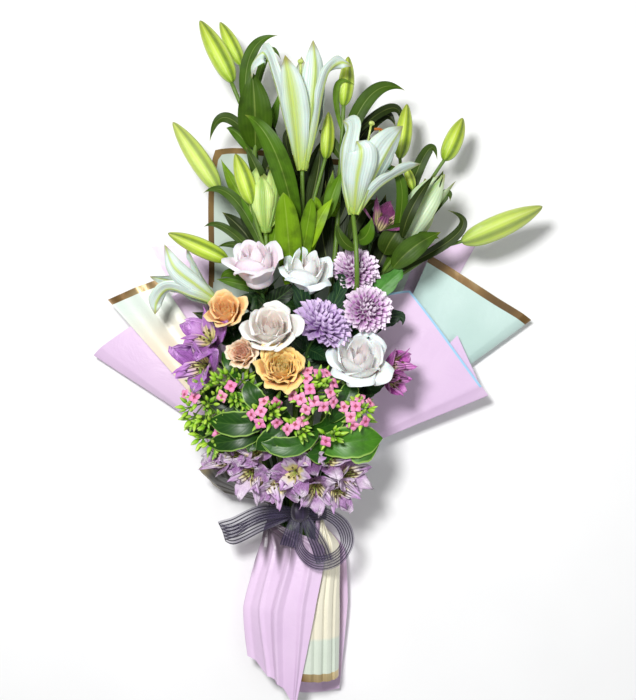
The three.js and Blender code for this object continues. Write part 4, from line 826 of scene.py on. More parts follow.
# Cross rows from the handle's end to the edge by the flowers; a row with angles goes
# round the neck and starts with its radius and its place along the bouquet.
SHEETS = read("""
paper_back_pink
-24 -205 3.6, -12 -212 1.8, 8 -215 1.4, 30 -214 2.4, 50 -208 12
-24 -105 3.6, -12 -107 1.8, 8 -108 1.4, 36 -107 2.4, 60 -104 18
-22 -44 3, -10 -45 1.6, 8 -45 1.4, 34 -44 4, 56 -43 20
22.4 -11, 240 264 288 312 336
22.4 11, 240 264 288 312 336
-54 70 3, -30 72 0.8, 4 73 0.8, 40 72 0.8, 72 68 4
-171 309 0.8, -75 311 0.8, 20 312 0.8, 115 312 0.8, 212 312 0.8
paper_top_mint
18.8 -31, 216 240 264 288 312
18.8 -11, 216 240 264 288 312
18.8 11, 216 240 264 288 312
-36 80 8, -18 82 4, 8 84 4, 36 82 4, 54 80 8
-103 263 7, -95 421 9, 20 412 9, 120 400 9, 142 300 8
paper_left_pink
-27 -176 9, -46 -168 14, -57 -152 28, -50 -165 42, -36 -182 50, -18 -192 55, -4 -213 58, 1 -214 59
-30 -100 9, -52 -103 15, -61 -105 30, -55 -107 46, -42 -108 56, -22 -110 62, 2 -110 66, 22 -108 65
-30 -38 8, -38 -38 14, -40 -38 28, -36 -38 42, -24 -38 52, -6 -38 59, 14 -38 62, 32 -36 60
20.6 -11, 240 224 208 192 176 160 144 128
20.6 11, 240 228 218 209 201 194 188 184
-62 105 4.4, -104 98 10, -110 96 17, -106 98 25, -98 104 30, -90 110 34, -80 116 37, -70 118 39
-140 255 4.4,-226 187 9,-236 181 15,-227 190 21,-190 216 25,-160 238 27,-134 254 29,-112 270 30
paper_right_mint
44 -186 18, 48 -188 27, 48 -190 36, 45 -191 43, 38 -192 48, 28 -192 52, 16 -191 55, 4 -190 57
46 -100 20, 50 -101 29, 50 -102 38, 46 -102 46, 39 -102 52, 30 -102 56, 20 -102 59, 10 -102 61
36 -36 20, 44 -36 25, 49 -36 32, 48 -36 39, 43 -36 45, 37 -36 49, 31 -36 51.5, 24 -36 53.5
20.6 -11, 306 320 333 346 358 369 379 388
20.6 11, 306 311 316 321 326 331 336 340
95 120 4.6, 124 117 8, 130 115 14, 124 118 20, 112 122 23, 102 126 25, 92 130 27, 84 134 28
190 262 5, 262 228 8, 274 222 14, 264 229 20, 236 246 23, 208 264 25, 180 282 26, 155 297 27
paper_right_pink
17 -31, 344 355 366 377 387 396
17 -11, 344 355 366 377 387 396
17 11, 344 355 366 377 387 396
94 110 32, 82 84 31, 86 79 35, 80 84 40, 72 104 44, 58 104 47
186 204 34, 214 143 33, 221 135 38, 213 145 44, 130 255 50, 86 248 50
paper_left_cream
17 -31, 180 168 156
17 -11, 180 168 156
17 11, 180 168 156
-88 98 44, -72 110 50, -58 118 54
-217 245 35, -186 258 40, -156 269 44
paper_collar_cream
22.4 -11, 216 192 168 144 120
22.4 11, 216 192 168 144 120
-70 18 24, -80 22 40, -92 36 58, -82 44 76, -60 36 86
-78 20 22, -92 30 40, -110 52 60, -94 66 82, -66 54 92
""")

# The ribbon's left loop, right loop, right tail and left tail.
RIBBON = read("""
route
-2 5 74, -38 4 81, -70 -12 79, -83 -17 73, -73 -22 67, -38 -8 67, -3 3 69
10 6 75, 32 5 82, 52 -8 84, 58 -28 81, 46 -47 77, 22 -52 75, 4 -36 73, 5 0 69
9 2 72, 17 -14 74, 27 -34 72, 33 -52 68
1 2 72, -4 -16 75, -9 -34 72
""")

# Seeds of the random draws; each flower, spray or sheet adds its own number.
ROSE_SEED, MUM_SEED, ROSE_LEAF_SEED, MUM_LEAF_SEED = 10, 30, 50, 70
FLORET_SEED, CLUSTER_SEED, PAPER_SEED = 90, 120, 201

# Leaves. An outline is its least width, where it is widest, its end and its bluntness.
LANCEOLATE, OVATE = (0.14, 0.75, 1, 0.9), (0.14, 0.6, 1, 0.8)
OBOVATE, ROUNDED = (0.16, 1.5, 0.97, 0.8), (0.1, 1.25, 1, 0.42)


def leaf(skin, start, via, tip, width, tone, outline=LANCEOLATE, cup=0.22, scallop=0.0,
         teeth=0.0, wave=0.0, cols=10, rows=22, thick=0.7):
    """A leaf whose mid rib bends from its root through a point to its tip."""
    start, via, tip = (np.asarray(p, float) for p in (start, via, tip))
    pull = 2 * via - (start + tip) / 2
    s, t = lattice(cols, rows)
    u = t[..., None]
    line = (1 - u) ** 2 * start + 2 * u * (1 - u) * pull + u**2 * tip
    tangent = unit(2 * (1 - u) * (pull - start) + 2 * u * (tip - pull))
    across = unit(np.cross(tangent, UP))
    normal = np.cross(across, tangent)
    least, lean, end, blunt = outline
    half = least + (1 - least) * np.sin(math.pi * np.minimum(t**lean, 1) * end) ** blunt
    half = width / 2 * half * (1 - t**10) * smooth(t, -0.04, 0.05)
    notch = scallop * np.cos(math.tau * 5 * t) + teeth * np.abs(np.sin(math.pi * 14 * t))
    half = half * (1 + notch)
    lift = cup * s * s * half - 0.05 * width * np.exp(-((s / 0.16) ** 2)) * np.sin(math.pi * t)
    lift += wave * width * np.abs(s) ** 2 * np.sin(math.tau * 2.3 * t + 1.7 * np.sign(s))
    p = line + across * (s * half)[..., None] + normal * lift[..., None]
    skin.blade(p, thick, tone=tone, paint=1)


# Lily flowers and buds
def tepal(skin, points, width, out, tone, phase):
    """A tepal along its mid rib, its back turned outward and its margins ruffled."""
    s, t = lattice(18, 34)
    line = Curve(points).at(t[:, 0])
    tangent = unit(np.gradient(line, axis=0))
    across = unit(np.cross(tangent, unit(out)))
    facing = np.cross(across, tangent)
    half = width / 2 * (0.2 + 0.8 * np.sin(math.pi * t**1.05) ** 0.8) * (1 - t**9) ** 0.7
    lift = -0.32 * (1 + 1.6 * (1 - t) ** 3) * half * s * s
    lift += 0.045 * width * np.exp(-((s / 0.13) ** 2)) * (1 - t)
    lift += 0.02 * width * np.cos(s * 9) * np.sin(math.pi * t)
    wavy = np.sin(math.tau * 2.6 * t + phase + 1.9 * np.sign(s))
    wavy += 0.5 * np.sin(math.tau * 5.3 * t + 2 * phase)
    lift += 1.2 * np.abs(s) ** 3 * wavy * np.sin(math.pi * t)
    p = line[:, None] + across[:, None] * (s * half)[..., None] + facing[:, None] * lift[..., None]
    skin.blade(p, 0.9, tone=tone)


def stamens(skin, base, axis, length, pistil, tips):
    """Filaments with an anther across each tip, and the pistil."""
    axis = unit(axis)
    base = vec(*base) + 6 * axis
    for tip in tips:
        tip = vec(*tip)
        middle = mix(base, tip, 0.5) + 0.05 * length * axis
        skin.tube([base, middle, tip], 0.9, 10, 6, 0.7, paint=1)
        along = unit(tip - middle)
        cross = 6 * unit(np.cross(along, vec(0, 0.2, 1)))
        anther = [tip - cross - along, tip + along, tip + cross - along]
        skin.tube(anther, 1.7, 8, 6, 0.8, paint=2)
    pistil = vec(*pistil)
    middle = mix(base, pistil, 0.5) + 0.04 * length * axis
    skin.tube([base, middle, pistil], 1.3, 12, 8, 0.9, paint=1)
    stigma = [[0.1, -2], [3, 0], [3.2, 2], [1.6, 3.6], [0.1, 4]]
    skin.spindle(around(pistil - 1.5 * axis, axis), stigma, 6, 12, 0.2, paint=1)


def lily_bud(skin, base, tip, width, tone):
    """A closed bud of three lobes, its profile in shares of its radius and length."""
    shape = [[0.02, -0.05], [0.3, -0.03], [0.62, 0.04], [0.86, 0.14], [1, 0.34], [0.95, 0.56],
             [0.72, 0.76], [0.42, 0.9], [0.16, 0.98], [0.01, 1]]
    along = vec(*tip) - vec(*base)
    profile = scaled(shape, width / 2, np.linalg.norm(along))
    skin.spindle(around(base, along), profile, 36, 24, 0.09, paint=2, tone=tone)


for name, ((base, axis, (length,), pistil, *tips), *tepals) in FLOWERS.items():
    skin = Skin()
    for i, ((width, tone), out, *points) in enumerate(tepals):
        tepal(skin, points, width, out, tone, 1.3 * i)
    stamens(skin, base, axis, length, pistil, tips)
    foot = [[0.1, -4], [5, -3], [6.4, 0], [6.6, 6], [5.6, 10]]
    skin.spindle(around(base, axis), foot, 10, 16, 0.12, v=np.zeros((11, 1)))
    petal = {"lily_flower_small": LIME_LILY, "lily_flower_far_right": PALE_LILY}.get(name, LILY)
    piece(name, skin, [petal, PISTIL, ANTHER])


# Roses: how far out, tall, flared and drooping their petals are, from the guards to the heart.
FULL = [0.86, 0.64, 0.36, 0.1], [0.9, 1, 0.98, 0.94], [0.3, 0.06, -0.04, -0.02], [0.06, 0, 0, 0]
GOBLET = [0.8, 0.7, 0.42, 0.1], [0.84, 0.98, 1, 0.95], [0.46, 0.02, -0.12, -0.04], [0.2, 0, 0, 0]
CUP = [0.9, 0.82, 0.48, 0.1], [0.84, 0.98, 1, 0.95], [0.4, 0.02, -0.12, -0.04], [0.36, 0, 0, 0]
GUARDS = 4
# Foot, axis, radius, height, the guards' side (90 degrees is down the view), petals, ruffle
ROSES = {
    "rose_pink_upper": ([-37, 258, 128], [-0.14, 0.84, 0.52], 29, 48, 2.6, 14, 0.18, GOBLET, BLUSH),
    "rose_pink_back": ([10, 252, 116], [0.14, 0.8, 0.58], 25, 44, 2.3, 14, 0.2, CUP, MINTY),
    "rose_white_centre": ([-23, 198, 134], [-0.08, 0.5, 0.86], 29, 42, 1.6, 20, 0.2, FULL, CREAM),
    "rose_white_right": ([70, 160, 128], [0.02, 0.64, 0.77], 29, 45, 1.8, 16, 0.2, CUP, MINTY),
    "rose_orange_left": ([-72, 220, 120], [-0.12, 0.45, 0.88], 21, 36, 1.3, 19, 0.35, FULL, ORANGE),
    "rose_orange_centre": ([-14, 160, 144], [0.04, 0.36, 0.93], 25, 38, 2.3, 34, 0.55, FULL,
                           APRICOT),
    "rose_peach": ([-50, 180, 138], [-0.24, 0.2, 0.95], 16, 32, 2.4, 24, 0.7, FULL, PEACH),
}


def rose(skin, base, axis, radius, height, spin, petals, ruffle, shape, seed):
    """The guard petals stand off on one side, the others follow the golden angle inwards."""
    place = around(base, axis)
    draw = np.random.default_rng(seed)
    s, t = lattice(18, 18)
    side = np.abs(s)
    corner = side**2.2
    swell = np.sin(np.minimum(t * 1.3, 1) * math.pi / 2)
    lip = np.maximum(0, t - 0.5) / 0.5
    roll = smooth(t, 0.8, 1.0) ** 2
    top = 1 - 0.24 * side**1.6 * t - 0.05 * side**6 * t
    for i in range(petals):
        guard = i < GUARDS
        share = 0.12 * i / GUARDS if guard else mix(0.3, 1, (i - GUARDS) / (petals - 1 - GUARDS))
        at, tall, flare, droop = (np.interp(share, [0, 0.4, 0.75, 1], part) for part in shape)
        angle = spin + ((i - (GUARDS - 1) / 2) * 0.95 if guard else i * GOLDEN_ANGLE)
        angle += draw.uniform(-0.15, 0.15)
        span = mix(0.78, 1.35, share) * (1 - 0.3 * t**5)
        phase = draw.uniform(0, math.tau, 3)
        out = mix(at * 0.4, at, swell) + flare * lip**1.6 * (1 - (0.75 if guard else 0) * corner)
        turned = (-0.1 if guard else 0.1) * corner * side * t**2
        out = out * (1 + 0.08 * s) + (1 - share) * (0.1 * roll + turned)
        edge = t**3 * (np.sin(4.2 * s + phase[0]) + 0.6 * np.sin(9 * s + phase[1]))
        out = out + ruffle * 0.16 * edge * mix(0.7, 0.4, share)
        rise = height * tall * (1 + draw.uniform(-0.03, 0.03)) * t * top
        rise = rise + ruffle * 0.05 * height * t**4 * np.sin(7 * s + phase[2])
        fall = radius * (droop * lip**2 + 0.09 * (1 - share) * roll)
        skin.blade(place(radius * out, angle + s * span, 2 + rise - fall), tone=share)
    core = [[0.1, -3], [0.3 * radius, -1], [0.52 * radius, 4], [0.45 * radius, 0.35 * height],
            [0.1, 0.5 * height]]
    skin.spindle(place, core, 8, 16, tone=0.2)


for i, (name, (*facts, paint)) in enumerate(ROSES.items()):
    skin = Skin()
    rose(skin, *facts, ROSE_SEED + i)
    warm = paint in (ORANGE, APRICOT, PEACH)
    piece(name, skin, [paint])


# Chrysanthemums: whorls of spoon-shaped petals over a domed core.
WHORLS = 9


def mum(skin, base, axis, radius, depth, seed):
    place = around(base, axis)
    draw = np.random.default_rng(seed)
    s, t = lattice(4, 7)
    for w in range(WHORLS):
        lean = math.radians(mix(112, 6, (w / (WHORLS - 1)) ** 0.9))
        count = int(4 + 17 * math.sin(lean))
        for k in range(count):
            angle = math.tau * (k + 0.5 * (w % 2)) / count + draw.uniform(-0.08, 0.08)
            polar = lean + draw.uniform(-0.09, 0.09)
            long = draw.uniform(0.9, 1.04)
            sine, cosine = math.sin(polar), math.cos(polar)
            bow = 0.1 * np.sin(math.pi * t)
            reach = radius * (mix(0.3 * sine, sine * long, t) + bow * cosine)
            height = depth * mix(0.3 + 0.22 * cosine, 0.3 + 0.7 * cosine * long, t)
            height = height + radius * (-bow * sine * 0.4 + 0.07 * t * t)
            half = (1 - np.clip((t - 0.7) / 0.3, 0, 1) ** 2.5) ** 0.5
            half = radius * 0.155 * (0.3 + 0.7 * t) * half
            cup = 0.7 * half * s * s
            turn = np.arctan2(s * half, reach + radius * 0.05)
            p = place(reach - cosine * cup, angle + turn, height + sine * cup)
            skin.patch(p, tone=draw.uniform(0, 1))
    core = scaled([[0.1, 0.06], [0.3, 0.08], [0.42, 0.3], [0.36, 0.5], [0.1, 0.62]], radius, depth)
    skin.spindle(place, core, 8, 16, v=np.zeros((9, 1)))


MUMS = {
    "mum_upper": ([66, 270, 112], [0.1, 0.6, 0.8], 28, 22, VIOLET),
    "mum_centre": ([27, 209, 136], [0.4, 0.7, 0.6], 35, 26, LILAC),
    "mum_right": ([76, 228, 134], [0.3, 0.3, 0.9], 29, 26, VIOLET),
}
for i, (name, (*facts, paint)) in enumerate(MUMS.items()):
    skin = Skin()
    mum(skin, *facts, MUM_SEED + i)
    piece(name, skin, [paint])


def floret(skin, base, axis, size, spin, spread, wilt, seed):
    """An alstroemeria floret: broad outer tepals, striped inner ones and six stamens."""
    place = around(base, axis)
    draw = np.random.default_rng(seed)
    s, t = lattice(12, 16)
    for inner in (False, True):
        long, tall, drop = (0.75, 0.88, 0) if inner else (1.1, 0.74, 0.08)
        wide = (0.24 if wilt > 1 else 0.18) if inner else 0.38
        for k in range(3):
            angle = spin + (k + (0.5 if inner else 1)) * math.tau / 3
            phase = draw.uniform(0, math.tau, 4)
            reach = size * (0.06 + long * spread * t**1.3)
            height = size * (0.12 + tall * t - drop * t**3)
            half = size * wide * np.sin(math.pi * np.minimum(0.08 + t * 0.74, 0.95))
            half = half * (1 - t**12) ** 0.6
            wavy = np.sin(6 * s + phase[0] + 3 * t) + 0.7 * np.sin(11 * t + phase[1] + 2 * s)
            wavy = wavy + 0.6 * np.sin(13 * s * t + phase[2])
            reach = reach + size * 0.06 * wilt * wavy * t
            height = height + size * 0.08 * wilt * wavy * t - size * 0.05 * s * s * t
            tone = (0.75 if inner else 0.25) + 0.02 * k
            skin.petal(place, angle, s, reach, half, height, 0.6, 0.8, tone=tone)
    for k in range(6):
        out = [0.3, 0.05 * size, (0.12 + 0.05 * (k % 2)) * size]
        high = [0.15 * size, 0.4 * size, 0.62 * size]
        a, b, c = place(out, spin + k * math.tau / 6 + 0.3, high)
        skin.tube([a, b, c], 0.6, 6, 5, 0.8, paint=2)
        skin.spindle(around(c, c - b), [[0.1, -1], [1.2, 0], [1.1, 2], [0.1, 3]], 4, 6, paint=3)
    foot = [[0.1, -3], [1.8, -2.5], [0.1 * size, 0.06 * size], [0.12 * size, 0.16 * size]]
    skin.spindle(place, foot, 8, 12, paint=1)


# Kalanchoe clusters: florets and closed buds on thin stalks that spread from a core.
FLORET_SIZE = 15.5


def small_floret(skin, place, size, draw):
    turn = draw.uniform(0, 1.5)
    tone = draw.uniform(0, 0.8)
    s, t = lattice(4, 7)
    for k in range(4):
        reach = size * 0.5 * (0.04 + 0.96 * t) * draw.uniform(0.92, 1.05)
        half = size * 0.22 * np.sin(math.pi * np.clip(t, 0.05, 1) ** 0.85) ** 0.8 + 0.02
        height = size * (0.07 * np.sin(math.pi * t * 0.8) - 0.05 * s * s + 0.02 * (k % 2))
        skin.petal(place, turn + k * math.pi / 2, s, reach, half, height, 0.5, tone=tone, paint=2)


def small_bud(skin, base, direction, length, tone, wide):
    shape = [[0.2, -0.06], [0.34, 0.05], [0.95, 0.25], [1.0, 0.45], [0.6, 0.78], [0.05, 1]]
    profile = scaled(shape, 0.27 * length * wide, length)
    skin.spindle(around(base, direction), profile, 8, 8, 0.08, paint=3, tone=tone)


def cluster(skin, start, centre, axis, radius, florets, buds, turn, seed):
    middle, up = vec(*centre), unit(axis)
    place = around(middle, up)
    draw = np.random.default_rng(seed)
    skin.tube([start, mix(middle, start, 0.4), middle], 2, 10, 8, paint=0)
    count = int(florets + buds)
    for i in range(count):
        polar = math.sqrt((i + 0.5) / count) * 1.3
        blooming = (i * florets) % count < florets
        reach = radius * (1 if blooming else 1.08)
        high = reach * (0.2 + 0.8 * math.cos(polar))
        end = place(reach * math.sin(polar), turn + i * GOLDEN_ANGLE, high)
        head = unit(end - middle + up * radius * 0.5)
        skin.tube([middle, mix(middle, end, 0.6) + up, end], 0.9, 6, 6, paint=0)
        if blooming:
            small_floret(skin, around(end, head), FLORET_SIZE, draw)
        near = around(end - head * (5 if blooming else 1), head)
        around_it = 3 if blooming else 7
        for k in range(around_it):
            out, bend = draw.uniform(2.5, 6.5), draw.uniform(0, 0.8)
            spot = near(out, k * math.tau / around_it + bend, draw.uniform(-4, 2))
            away = unit(head + 0.9 * unit(spot - end + head * 4))
            stalk = [mix(middle, end, 0.75), mix(spot, end, 0.3) - head * 2, spot]
            skin.tube(stalk, 0.55, 4, 5, paint=0)
            small_bud(skin, spot, away, draw.uniform(8.5, 13.5), draw.uniform(0, 1), 0.68)
        if not blooming:
            small_bud(skin, end, head, draw.uniform(9, 13), draw.uniform(0.2, 1), 0.78)


# The bundle: the stems packed side by side in the tie, then led to their flowers.
SEAT, SEAM, STEM_SPACE, STEM_END = -3, 0.3, 0.1, -150
PACK_ROUNDS, SPREAD_ROUNDS = 400, 80
LILY_STEM, ROSE_STEM, SPRAY_STEM, SIDE_STEM, BUD_STEM = 3.8, 3.2, 2.8, 2.1, 2


def bundled(name, radius, head, axis, via=(), joined=False):
    """A stem whose end is the head itself where they are joined, and its seat if not."""
    head, axis = vec(*head), unit(axis)
    foot = head if joined else head + axis * (SEAT - SEAM)
    return SimpleNamespace(name=name, radius=radius, head=head, axis=axis, via=via, foot=foot)


def pack_bundle(stems):
    """Where each stem crosses the tie: drawn inwards, and pushed apart where they meet."""
    slots = []
    for stem in stems:
        lean = stem.head[1] + 110
        slots.append([60 * stem.head[0] / lean, 60 * (stem.head[2] - 75) / lean])
    for _ in range(PACK_ROUNDS):
        for slot in slots:
            slot[0] *= 0.998
            slot[1] *= 0.99
        for i, a in enumerate(slots):
            for j in range(i + 1, len(slots)):
                b = slots[j]
                dx, dy = b[0] - a[0], b[1] - a[1]
                far = math.hypot(dx, dy)
                push = stems[i].radius + stems[j].radius + STEM_SPACE - far
                if push > 0:
                    dx, dy = dx / far * push / 2, dy / far * push / 2
                    a[0] -= dx
                    a[1] -= dy
                    b[0] += dx
                    b[1] += dy
    return slots


def stem_route(stem, slot):
    """A stem's points from the handle through its slot in the tie to its foot."""
    in_tie = lambda y, spread=1.0: vec(slot[0] * spread, y, TIE_HEIGHT + slot[1] * spread)
    clear = in_tie(16)
    approach = stem.head - stem.axis * 0.16 * np.linalg.norm(stem.head - clear)
    half = mix(clear, approach, vec(0.42, 0.5, 0.5))
    curve = Curve([clear, *(stem.via or [half]), approach, stem.foot])
    return np.vstack([in_tie(STEM_END, 1.1), in_tie(-20), curve.even(np.linspace(0, 1, 8))])


def spread_apart(stems, routes):
    """Stems push each other apart all the way from the tie to their flowers."""
    shares = vec(0.25, 0.5, 0.75, 1)
    last = len(routes[0]) - 1

    def move(route, k, shift, share):
        if 2 < k < last:
            route[k] += shift * share

    pairs = [(i, j) for i in range(len(stems)) for j in range(len(stems)) if i != j]
    for i, j in pairs * SPREAD_ROUNDS:
        a, b = routes[i], routes[j]
        room = stems[i].radius + stems[j].radius + STEM_SPACE
        here = a[2:-1, None] + (a[3:, None] - a[2:-1, None]) * shares[:, None]
        low, run = b[2:-1], b[3:] - b[2:-1]
        off = here[:, None] - low[None, :, None]
        along = (off * run[None, :, None]).sum(-1) / (run**2).sum(-1)[None, :, None]
        gap = off - np.clip(along, 0, 1)[..., None] * run[None, :, None]
        for k, m, q in np.argwhere((gap**2).sum(-1) < room * room):
            share = shares[q]
            spot = a[k + 2] + (a[k + 3] - a[k + 2]) * share
            run_m = b[m + 3] - b[m + 2]
            t = min(max(np.dot(spot - b[m + 2], run_m) / np.dot(run_m, run_m), 0), 1)
            away = spot - b[m + 2] - t * run_m
            far = math.sqrt(np.dot(away, away))
            if far < room:
                away *= (room - far) / 2 / far
                move(a, k + 2, away, 1 - share / 2)
                move(a, k + 3, away, 0.5 + share / 2)
                move(b, m + 2, away, -0.75)
                move(b, m + 3, away, -0.75)


STEMS = [
    bundled(name, LILY_STEM, head, axis, via, joined)
    for name, ((head, axis, (joined,), *via), *_) in LILY_STEMS.items()
]
STEMS += [
    bundled(name + "_stem", ROSE_STEM, base, axis)
    for name, (base, axis, *_) in ROSES.items() if name != "rose_peach"
]
STEMS.append(bundled("mum_stem", SPRAY_STEM, *MUMS["mum_centre"][:2]))
STEMS += [
    bundled(name, SPRAY_STEM, head, axis, joined=True)
    for name, ((head, axis, *_), *_) in (*FLORETS.items(), *CLUSTERS.items())
]
routes = [stem_route(stem, slot) for stem, slot in zip(STEMS, pack_bundle(STEMS))]
spread_apart(STEMS, routes)
ROUTES = {stem.name: route for stem, route in zip(STEMS, routes)}
STRAIGHTER = [[50, 180, 100], [60, 222, 110], [67, 254, 133], [67, 276, 145], [66, 302, 145]]
ROUTES["lily_stem_right_flower"][4:-1] = Curve(STRAIGHTER).at(np.linspace(0, 1, 5))
LINES = {name: Curve(route) for name, route in ROUTES.items()}


def main_stem(skin, name, radius, paint=0):
    skin.tube(ROUTES[name], radius, 72, 10, 0.62, paint=paint, tone=0.3)


def side_stem(skin, name, share, via, base, axis):
    foot = vec(*base) + unit(axis) * (SEAT - SEAM)
    skin.tube([LINES[name].at(share), via, foot], SIDE_STEM, 14, 8, paint=0, tone=0.6)


def sepals(skin, base, axis, size):
    """The green cup under a rose, with its five sepals."""
    place = around(base, axis)
    skin.spindle(place, [[2.6, -9], [4.6, -6], [5.2, -3.2], [4, -2]], 8, 12, paint=0, tone=0.6)
    s, t = lattice(4, 8)
    reach = size * (0.16 + 0.56 * t)
    height = -4 + size * (0.5 * t**1.6 - 0.12 * t)
    half = size * 0.13 * (1 - t**1.5) + 0.3
    for k in range(5):
        skin.petal(place, k * math.tau / 5, s, reach, half, height, 0.7, 0, tone=0.6)


def spray_leaves(skin, base, axis, reach, width, seed, darkest=0.6):
    """Six leaves that stand out under a bloom and fill the gaps beside it."""
    draw = np.random.default_rng(seed)
    place = around(base, axis)
    for k in range(6):
        angle = k * math.tau / 6 + draw.uniform(-0.3, 0.3)
        low, high = draw.uniform(-26, -14), draw.uniform(-12, 4)
        long = reach * draw.uniform(0.8, 1.15)
        start, via = place(2.5, angle, low - 10), place(0.5 * long, angle, low)
        tip = place(long, angle + draw.uniform(-0.3, 0.3), high)
        wide, tone = width * draw.uniform(0.8, 1.15), draw.uniform(0, darkest)
        leaf(skin, start, via, tip, wide, tone, OVATE, 0.15, teeth=0.05, wave=0.04, rows=20, cols=8)


def tabled_leaves(skin, name, on_stem, by_pixel=None):
    for (width, tone), root, via, tip in LEAVES[name]:
        if len(root) == 1:
            leaf(skin, LINES[name].at(root[0]), via, tip, width, tone, **on_stem)
        else:
            leaf(skin, seen(*root), seen(*via), seen(*tip), width, tone, **by_pixel)


LONG_LEAVES = [dict(wave=0.03, rows=28, cols=12), dict(wave=0.03, rows=24)]
MUM_LEAVES = [dict(outline=OVATE, cup=0.2, scallop=0.1, wave=0.05)]
BROAD_LEAVES = [dict(outline=OBOVATE, cup=0.1, scallop=0.05, thick=1.6),
                dict(outline=ROUNDED, cup=0.12, scallop=0.03, thick=1.6)]
PEACH_VIA, UPPER_VIA, RIGHT_VIA = [-30, 128, 112], [48, 196, 100], [64, 186, 94]

for name, (_, *buds) in LILY_STEMS.items():
    skin = Skin()
    main_stem(skin, name, LILY_STEM)
    for (width, tone), tip, (share,), *route in buds:
        if share:
            stalk = [LINES[name].at(share), *route]
            skin.tube(stalk, BUD_STEM, 24, 8, paint=0, tone=0.8)
        if width:
            lily_bud(skin, route[-1], tip, width, tone)
    tabled_leaves(skin, name, *LONG_LEAVES)
    piece(name, skin, [STEM, LONG_LEAF, BUD])
for i, (name, (base, axis, radius, *_)) in enumerate(ROSES.items()):
    if name != "rose_peach":
        skin = Skin()
        main_stem(skin, name + "_stem", ROSE_STEM)
        sepals(skin, base, axis, 1.1 * radius)
        spray_leaves(skin, base, axis, 1.25 * radius, 21, ROSE_LEAF_SEED + i)
        if name == "rose_orange_centre":
            peach = ROSES["rose_peach"][:2]
            side_stem(skin, name + "_stem", 0.6, PEACH_VIA, *peach)
            sepals(skin, *peach, 16)
        piece(name + "_stem", skin, [DARK_STEM, ROSE_LEAF])
skin = Skin()
main_stem(skin, "mum_stem", SPRAY_STEM)
side_stem(skin, "mum_stem", 0.6, UPPER_VIA, *MUMS["mum_upper"][:2])
side_stem(skin, "mum_stem", 0.66, RIGHT_VIA, *MUMS["mum_right"][:2])
tabled_leaves(skin, "mum_stem", *MUM_LEAVES)
for i, (base, axis, radius, *_) in enumerate(MUMS.values()):
    spray_leaves(skin, base, axis, 0.95 * radius, 18, MUM_LEAF_SEED + i, 0.4)
piece("mum_stem", skin, [DARK_STEM, MUM_LEAF])
for i, (name, ((head, _, (wilt,)), *florets)) in enumerate(FLORETS.items()):
    skin = Skin()
    main_stem(skin, name, SPRAY_STEM, 1)
    for k, (base, axis, (size, spin, spread)) in enumerate(florets):
        half_way = mix(vec(*head), vec(*base), 0.5) + vec(0, 0, -2)
        skin.tube([head, half_way, base], 1.6, 8, 8, paint=1)
        floret(skin, base, axis, size, spin, spread, wilt, FLORET_SEED + 7 * i + k)
    paint = [PURPLE, MAGENTA, PLUM, LAVENDER, LAVENDER][i]
    piece(name, skin, [paint, DARK_STEM, PISTIL, DARK_ANTHER])
for i, (name, (_, *clusters)) in enumerate(CLUSTERS.items()):
    skin = Skin()
    main_stem(skin, name, SPRAY_STEM)
    for k, (centre, axis, counts) in enumerate(clusters):
        start = LINES[name].at(0.82)
        cluster(skin, start, centre, axis, *counts, CLUSTER_SEED + 5 * i + k)
    tabled_leaves(skin, name, *BROAD_LEAVES)
    piece(name, skin, [STEM, FLESHY_LEAF, FLORET, SMALL_BUD])


# Paper
def straight(points, share):
    """Points on the broken line through some points."""
    i, w = between(points, share)
    return mix(points[i], points[i + 1], w)


def fine(points, count, crisp):
    """A line through some points; crisp is how sharply it turns at them."""
    share = np.linspace(0, 1, count + 1)
    return mix(Curve(points).at(share), straight(points, share), crisp)


def cross_row(row):
    """A row's points; where it goes round the neck, it is a radius, a place and angles."""
    if len(row[0]) == 3:
        return row
    (radius, y), angles = row
    a = np.radians(angles)
    return np.stack([(radius + NECK) * np.cos(a), 0 * a + y, TIE_HEIGHT + radius * np.sin(a)], -1)


def creased(p, lines):
    """Sharp folds along the handle: place across, how far it shifts along, height, width."""
    u, y = np.linspace(0, 1, p.shape[1])[None], p[..., 1]
    on = smooth(y, 10, -20) * smooth(y, -265, -205)
    down = np.clip((10 - y) / 215, 0, 1)
    height = 0
    for place, drift, high, wide in lines:
        height = height + high * np.maximum(0, 1 - np.abs(u - place - drift * down) / wide)
    return p + normals(p) * (height * on)[..., None]


